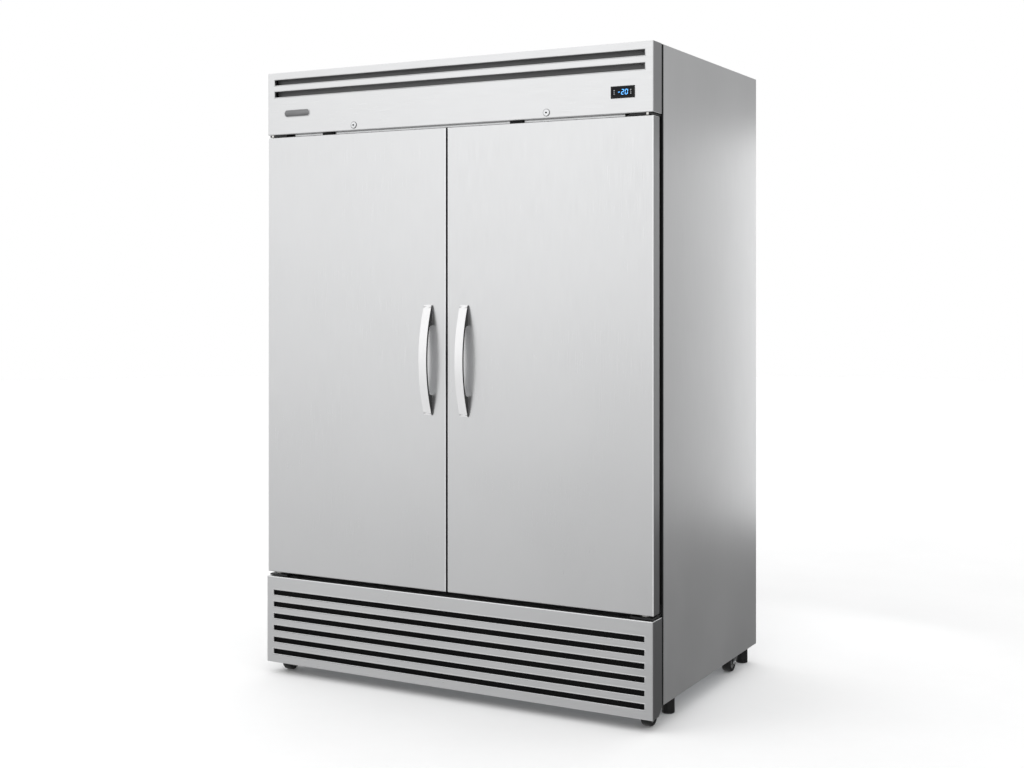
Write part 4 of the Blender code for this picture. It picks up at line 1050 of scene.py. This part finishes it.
def build_castor(end, side):
    """A plate on the base pan, a stamped fork with its ball race, and a wheel with a hub."""
    corner = f"{end}_{side}"
    fork_low, fork_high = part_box(f"{corner}_castor_fork")
    wheel_low, wheel_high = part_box(f"{corner}_castor_wheel")
    axle = (wheel_low + wheel_high) / 2
    trail = 0.022
    pivot = Vector((axle.x, axle.y + trail, 0))
    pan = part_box("base_pan")[0].z
    radius = (wheel_high.z - wheel_low.z) / 2
    half = (wheel_high.x - wheel_low.x) / 2

    shape = bmesh.new()
    wide = 0.027
    near = pivot + Vector((-wide, -0.0145, pan - 0.0032))
    add_box(shape, near, pivot + Vector((wide, wide + 0.006, pan - GAP)))
    bolts = [(pivot.x + a, pivot.y + b, pan - 0.0032) for a in (-0.02, 0.02) for b in (-0.008, 0.026)]
    add_screws(shape, bolts, "Z", -1, 0.0042)
    make_piece(f"{corner}_castor_plate", shape, "chrome")

    shape = bmesh.new()
    crown = 2 * radius + 0.002
    race = [(0, 0.0005), (0.0185, 0.0005), (0.0195, 0.0035), (0.0185, 0.007), (0.016, 0.0085)]
    race += [(0.015, 0.0108), (0, 0.0108)]
    add_lathe(shape, [(r, crown + h) for r, h in race], pivot, "Z", 32)
    for leg in (-1, 1):
        inner = axle.x + leg * (half + 0.0015)
        outer = axle.x + leg * (half + 0.004)
        slope = ((0.019, 0.0035), (0.016, -0.01), (0.004, -0.024))
        outline = [(pivot.y + back, crown + up) for back, up in slope]
        eye = [(0.0085 * math.cos(t), 0.0085 * math.sin(t)) for t in evenly(0.5, -2.8, 9)]
        outline += [(axle.y + back, axle.z + up) for back, up in eye]
        outline += [(axle.y - 0.008, crown - 0.014), (axle.y - 0.008, crown + 0.0035)]
        add_prism(shape, outline, "X", inner, outer)
    near = (axle.x - half - 0.004, axle.y - 0.008, crown + 0.0002)
    add_box(shape, near, (axle.x + half + 0.004, pivot.y + 0.0195, crown + 0.0036), 0.0012)
    stands_for = [f"{corner}_castor_fork"]
    make_piece(f"{corner}_fork", shape, "chrome", f"{corner}_castor", sharp=40, stands_for=stands_for)

    shape = bmesh.new()
    reach = half + 0.004
    run = Vector((reach + 0.001, 0, 0))
    add_rod(shape, axle - run, axle + run, 0.004, 16)
    nut = [(0, 0.0046), (0.005, 0.0046), (0.0062, 0.0036), (0.0062, 0), (0, 0)]
    for leg in (-1, 1):
        add_lathe(shape, [(r, leg * (reach + h)) for r, h in nut], axle, "X", 6)
    make_piece(f"{corner}_axle", shape, "chrome", f"{corner}_castor", sharp=30)

    shape = bmesh.new()
    tyre = [
        (half - 0.003, 0.02), (half - 0.0008, 0.0215), (half, radius - 0.006),
        (half - 0.0012, radius - 0.0025), (half - 0.004, radius - 0.0006), (half - 0.0085, radius),
    ]
    add_lathe(shape, wheel_profile(tyre), axle, "X", 48)
    stands_for = [f"{corner}_castor_wheel"]
    make_piece(f"{corner}_tyre", shape, "tread", f"{corner}_wheel", sharp=40, stands_for=stands_for)
    shape = bmesh.new()
    hub = [
        (half - 0.001, 0.0046), (half - 0.001, 0.009), (half - 0.004, 0.01), (half - 0.005, 0.018),
        (half - 0.0034, 0.0199),
    ]
    add_lathe(shape, wheel_profile(hub), axle, "X", 40)
    make_piece(f"{corner}_hub", shape, "grey_steel", f"{corner}_wheel", slot="black_plastic", sharp=40)


def build_foot(end, side):
    """A levelling foot: a ribbed black block with a sole, a hexagon nut and a threaded stem."""
    corner = f"{end}_{side}"
    low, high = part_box(f"{corner}_foot")
    centre = (low + high) / 2
    base = (centre.x, centre.y, low.z)
    radius = (high.x - low.x) / 2
    block_top = 0.0655
    shape = bmesh.new()
    flank = [(0.0025, 0), (0.0008, 0.001), (0, 0.003), (0, 0.0085), (0.0012, 0.0092), (0.0012, 0.0102)]
    flank += [(0.0002, 0.011), (0.0004, 0.056), (0.001, 0.06), (0.003, 0.064), (0.007, block_top)]
    block = [(0, 0), *((radius - inset, up) for inset, up in flank), (0, block_top)]
    add_lathe(shape, block, base, "Z", 48)
    body = f"{corner}_foot"
    make_piece(f"{corner}_foot_pad", shape, "plastic", body, sharp=40, stands_for=[body])
    shape = bmesh.new()
    nut = [(0.0, 0.0), (0.0095, 0.0), (0.0102, 0.001), (0.0102, 0.0058), (0.0092, 0.007), (0.0, 0.007)]
    add_lathe(shape, [(r, block_top + GAP + h) for r, h in nut], base, "Z", 6)
    stem_top = high.z - low.z - 0.0005
    thread_bottom = block_top + 0.0074
    thread = [(0.0, thread_bottom)]
    turns = int((stem_top - thread_bottom) / 0.002)
    for n in range(turns):
        z = thread_bottom + n * 0.002
        thread += [(0.0044, z), (0.005, z + 0.001)]
    thread += [(0.0044, stem_top), (0.0, stem_top)]
    add_lathe(shape, thread, base, "Z", 16)
    make_piece(f"{corner}_foot_stem", shape, "chrome", body, sharp=40)


# ---- studio
def build_floor():
    """A round pale floor, which steel doesn't mirror, so that it shows the studio's soft grey gradient."""
    shape = bmesh.new()
    add_lathe(shape, [(radius, 0) for radius in (0, 1, 2, 4, 8, FLOOR_RADIUS)], (0, 0, 0), "Z", 96)
    bmesh.ops.recalc_face_normals(shape, faces=shape.faces)
    mesh = bpy.data.meshes.new("studio_floor")
    shape.to_mesh(mesh)
    shape.free()
    if mesh.polygons[0].normal.z < 0:
        mesh.flip_normals()
    pale = surface("pale_floor", (0.9, 0.9, 0.9), 0.9, grain=30, colour_spread=0.01, bump=0.02)
    mesh.materials.append(pale)
    floor = bpy.data.objects.new("studio_floor", mesh)
    bpy.context.scene.collection.objects.link(floor)
    floor.visible_glossy = False


def build_world():
    """A soft studio: bright above, grey below, darker at the back, and plain white to the view."""
    world = bpy.data.worlds.new("studio")
    bpy.context.scene.world = world
    world.use_nodes = True
    tree = world.node_tree
    background = tree.nodes["Background"]
    direction = coordinates(tree, "Generated")
    height = spread(tree, split(tree, direction)["Z"], 0, 1, (-1, 1))
    ramp = add_node(tree, "ShaderNodeValToRGB", height)
    heights = ((-0.3, 0.62), (-0.18, 0.72), (-0.06, 0.95), (0.04, 1.07), (0.2, 1.15), (1.0, 1.2))
    ramp.color_ramp.interpolation = "EASE"
    while len(ramp.color_ramp.elements) < len(heights):
        ramp.color_ramp.elements.new(0.5)
    for element, (up, bright) in zip(ramp.color_ramp.elements, heights):
        element.position = (up + 1) / 2
        element.color = (bright, bright, bright, 1)
    dim = ramp.outputs["Color"]
    patches = (
        ((-0.47, -0.88, 0.04), 1.25, (0.93, 1.0)),
        ((-0.78, -0.62, 0.04), 0.8, (0.93, 1.0)),
        ((-0.24, -0.92, -0.3), 0.4, (0.94, 1.0)),
        ((-0.77, -0.5, -0.41), 0.08, (0.95, 0.995)),
        ((0.3, 0.95, 0.15), 0.38, (0.8, 0.985)),
        ((0.33, 0.85, -0.55), 0.16, (0.78, 0.97)),
        ((0.55, -0.83, 0.05), 1.06, (0.8, 0.95)),
        ((-1.0, 0.1, 0.0), 1.15, (0.8, 0.95)),
        ((1.0, 0.15, 0.0), 0.45, (0.7, 0.95)),
    )
    for toward, level, reach in patches:
        toward = Vector(toward).normalized()
        dot = add_node(tree, "ShaderNodeVectorMath", direction, toward, operation="DOT_PRODUCT")
        patch = spread(tree, dot.outputs["Value"], 1, level, reach)
        dim = add_node(tree, "ShaderNodeVectorMath", dim, operation="SCALE", Scale=patch).outputs["Vector"]
    seen = tree.nodes.new("ShaderNodeLightPath").outputs["Is Camera Ray"]
    tree.links.new(blend_colours(tree, seen, dim, (1.0, 1.0, 1.0)), background.inputs["Color"])


def build_lights():
    """Two soft lights that the view doesn't see: one over the front left, one beside the back."""
    lights = {
        "front_softbox": ((-2.6, -3.4, 3.4), (0.0, 0.0, 1.0), (3.0, 2.0), 42, False),
        "side_softbox": ((1.02, 1.36, 1.12), (0.7, 0.3, 1.1), (0.42, 1.6), 2.6, True),
    }
    for name, (place, target, size, power, mirrored) in lights.items():
        lamp = bpy.data.lights.new(name, "AREA")
        lamp.shape = "RECTANGLE"
        lamp.size, lamp.size_y = size
        lamp.energy = power
        item = bpy.data.objects.new(name, lamp)
        item.location = place
        item.rotation_euler = (Vector(target) - item.location).to_track_quat("-Z", "Y").to_euler()
        item.visible_glossy = mirrored
        item.visible_camera = False
        bpy.context.scene.collection.objects.link(item)


def build_camera():
    """The camera, solved from the photograph's box edges."""
    lens = bpy.data.cameras.new("camera")
    lens.lens = CAMERA_LENS
    lens.sensor_width = 36
    lens.shift_y = CAMERA_SHIFT
    camera = bpy.data.objects.new("camera", lens)
    camera.location = CAMERA_PLACE
    camera.rotation_euler = (math.pi / 2, 0, CAMERA_TURN)
    bpy.context.scene.collection.objects.link(camera)
    bpy.context.scene.camera = camera
    bpy.context.scene.view_settings.view_transform = "Standard"


# ---- whole object
def main():
    finish_cad_nodes()
    build_slot_lips("header_slot_lips", "header_panel", HEADER_SLOTS)
    build_slot_lips("grille_slot_lips", "lower_grille", GRILLE_SLOTS)
    build_header_inside()
    build_nameplate()
    build_display()
    build_deck_apron()
    for side in SIDES:
        build_gap_fittings(side)
    build_standards()
    build_evaporator()
    build_cabinet_fittings()
    build_air_filter()
    build_condenser()
    build_fan_motor()
    build_compressor_fittings()
    build_tray_and_box()
    build_outside_screws()
    build_header_channel()
    for side in SIDES:
        build_lock_trim(side)
        build_handle(side)
        build_door_inside(side)
        for height in ("lower", "middle", "upper"):
            build_shelf(side, height)
    for end, side in CORNERS:
        build_castor(end, side)
        build_foot(end, side)
    build_floor()
    build_world()
    build_lights()
    build_camera()


main()
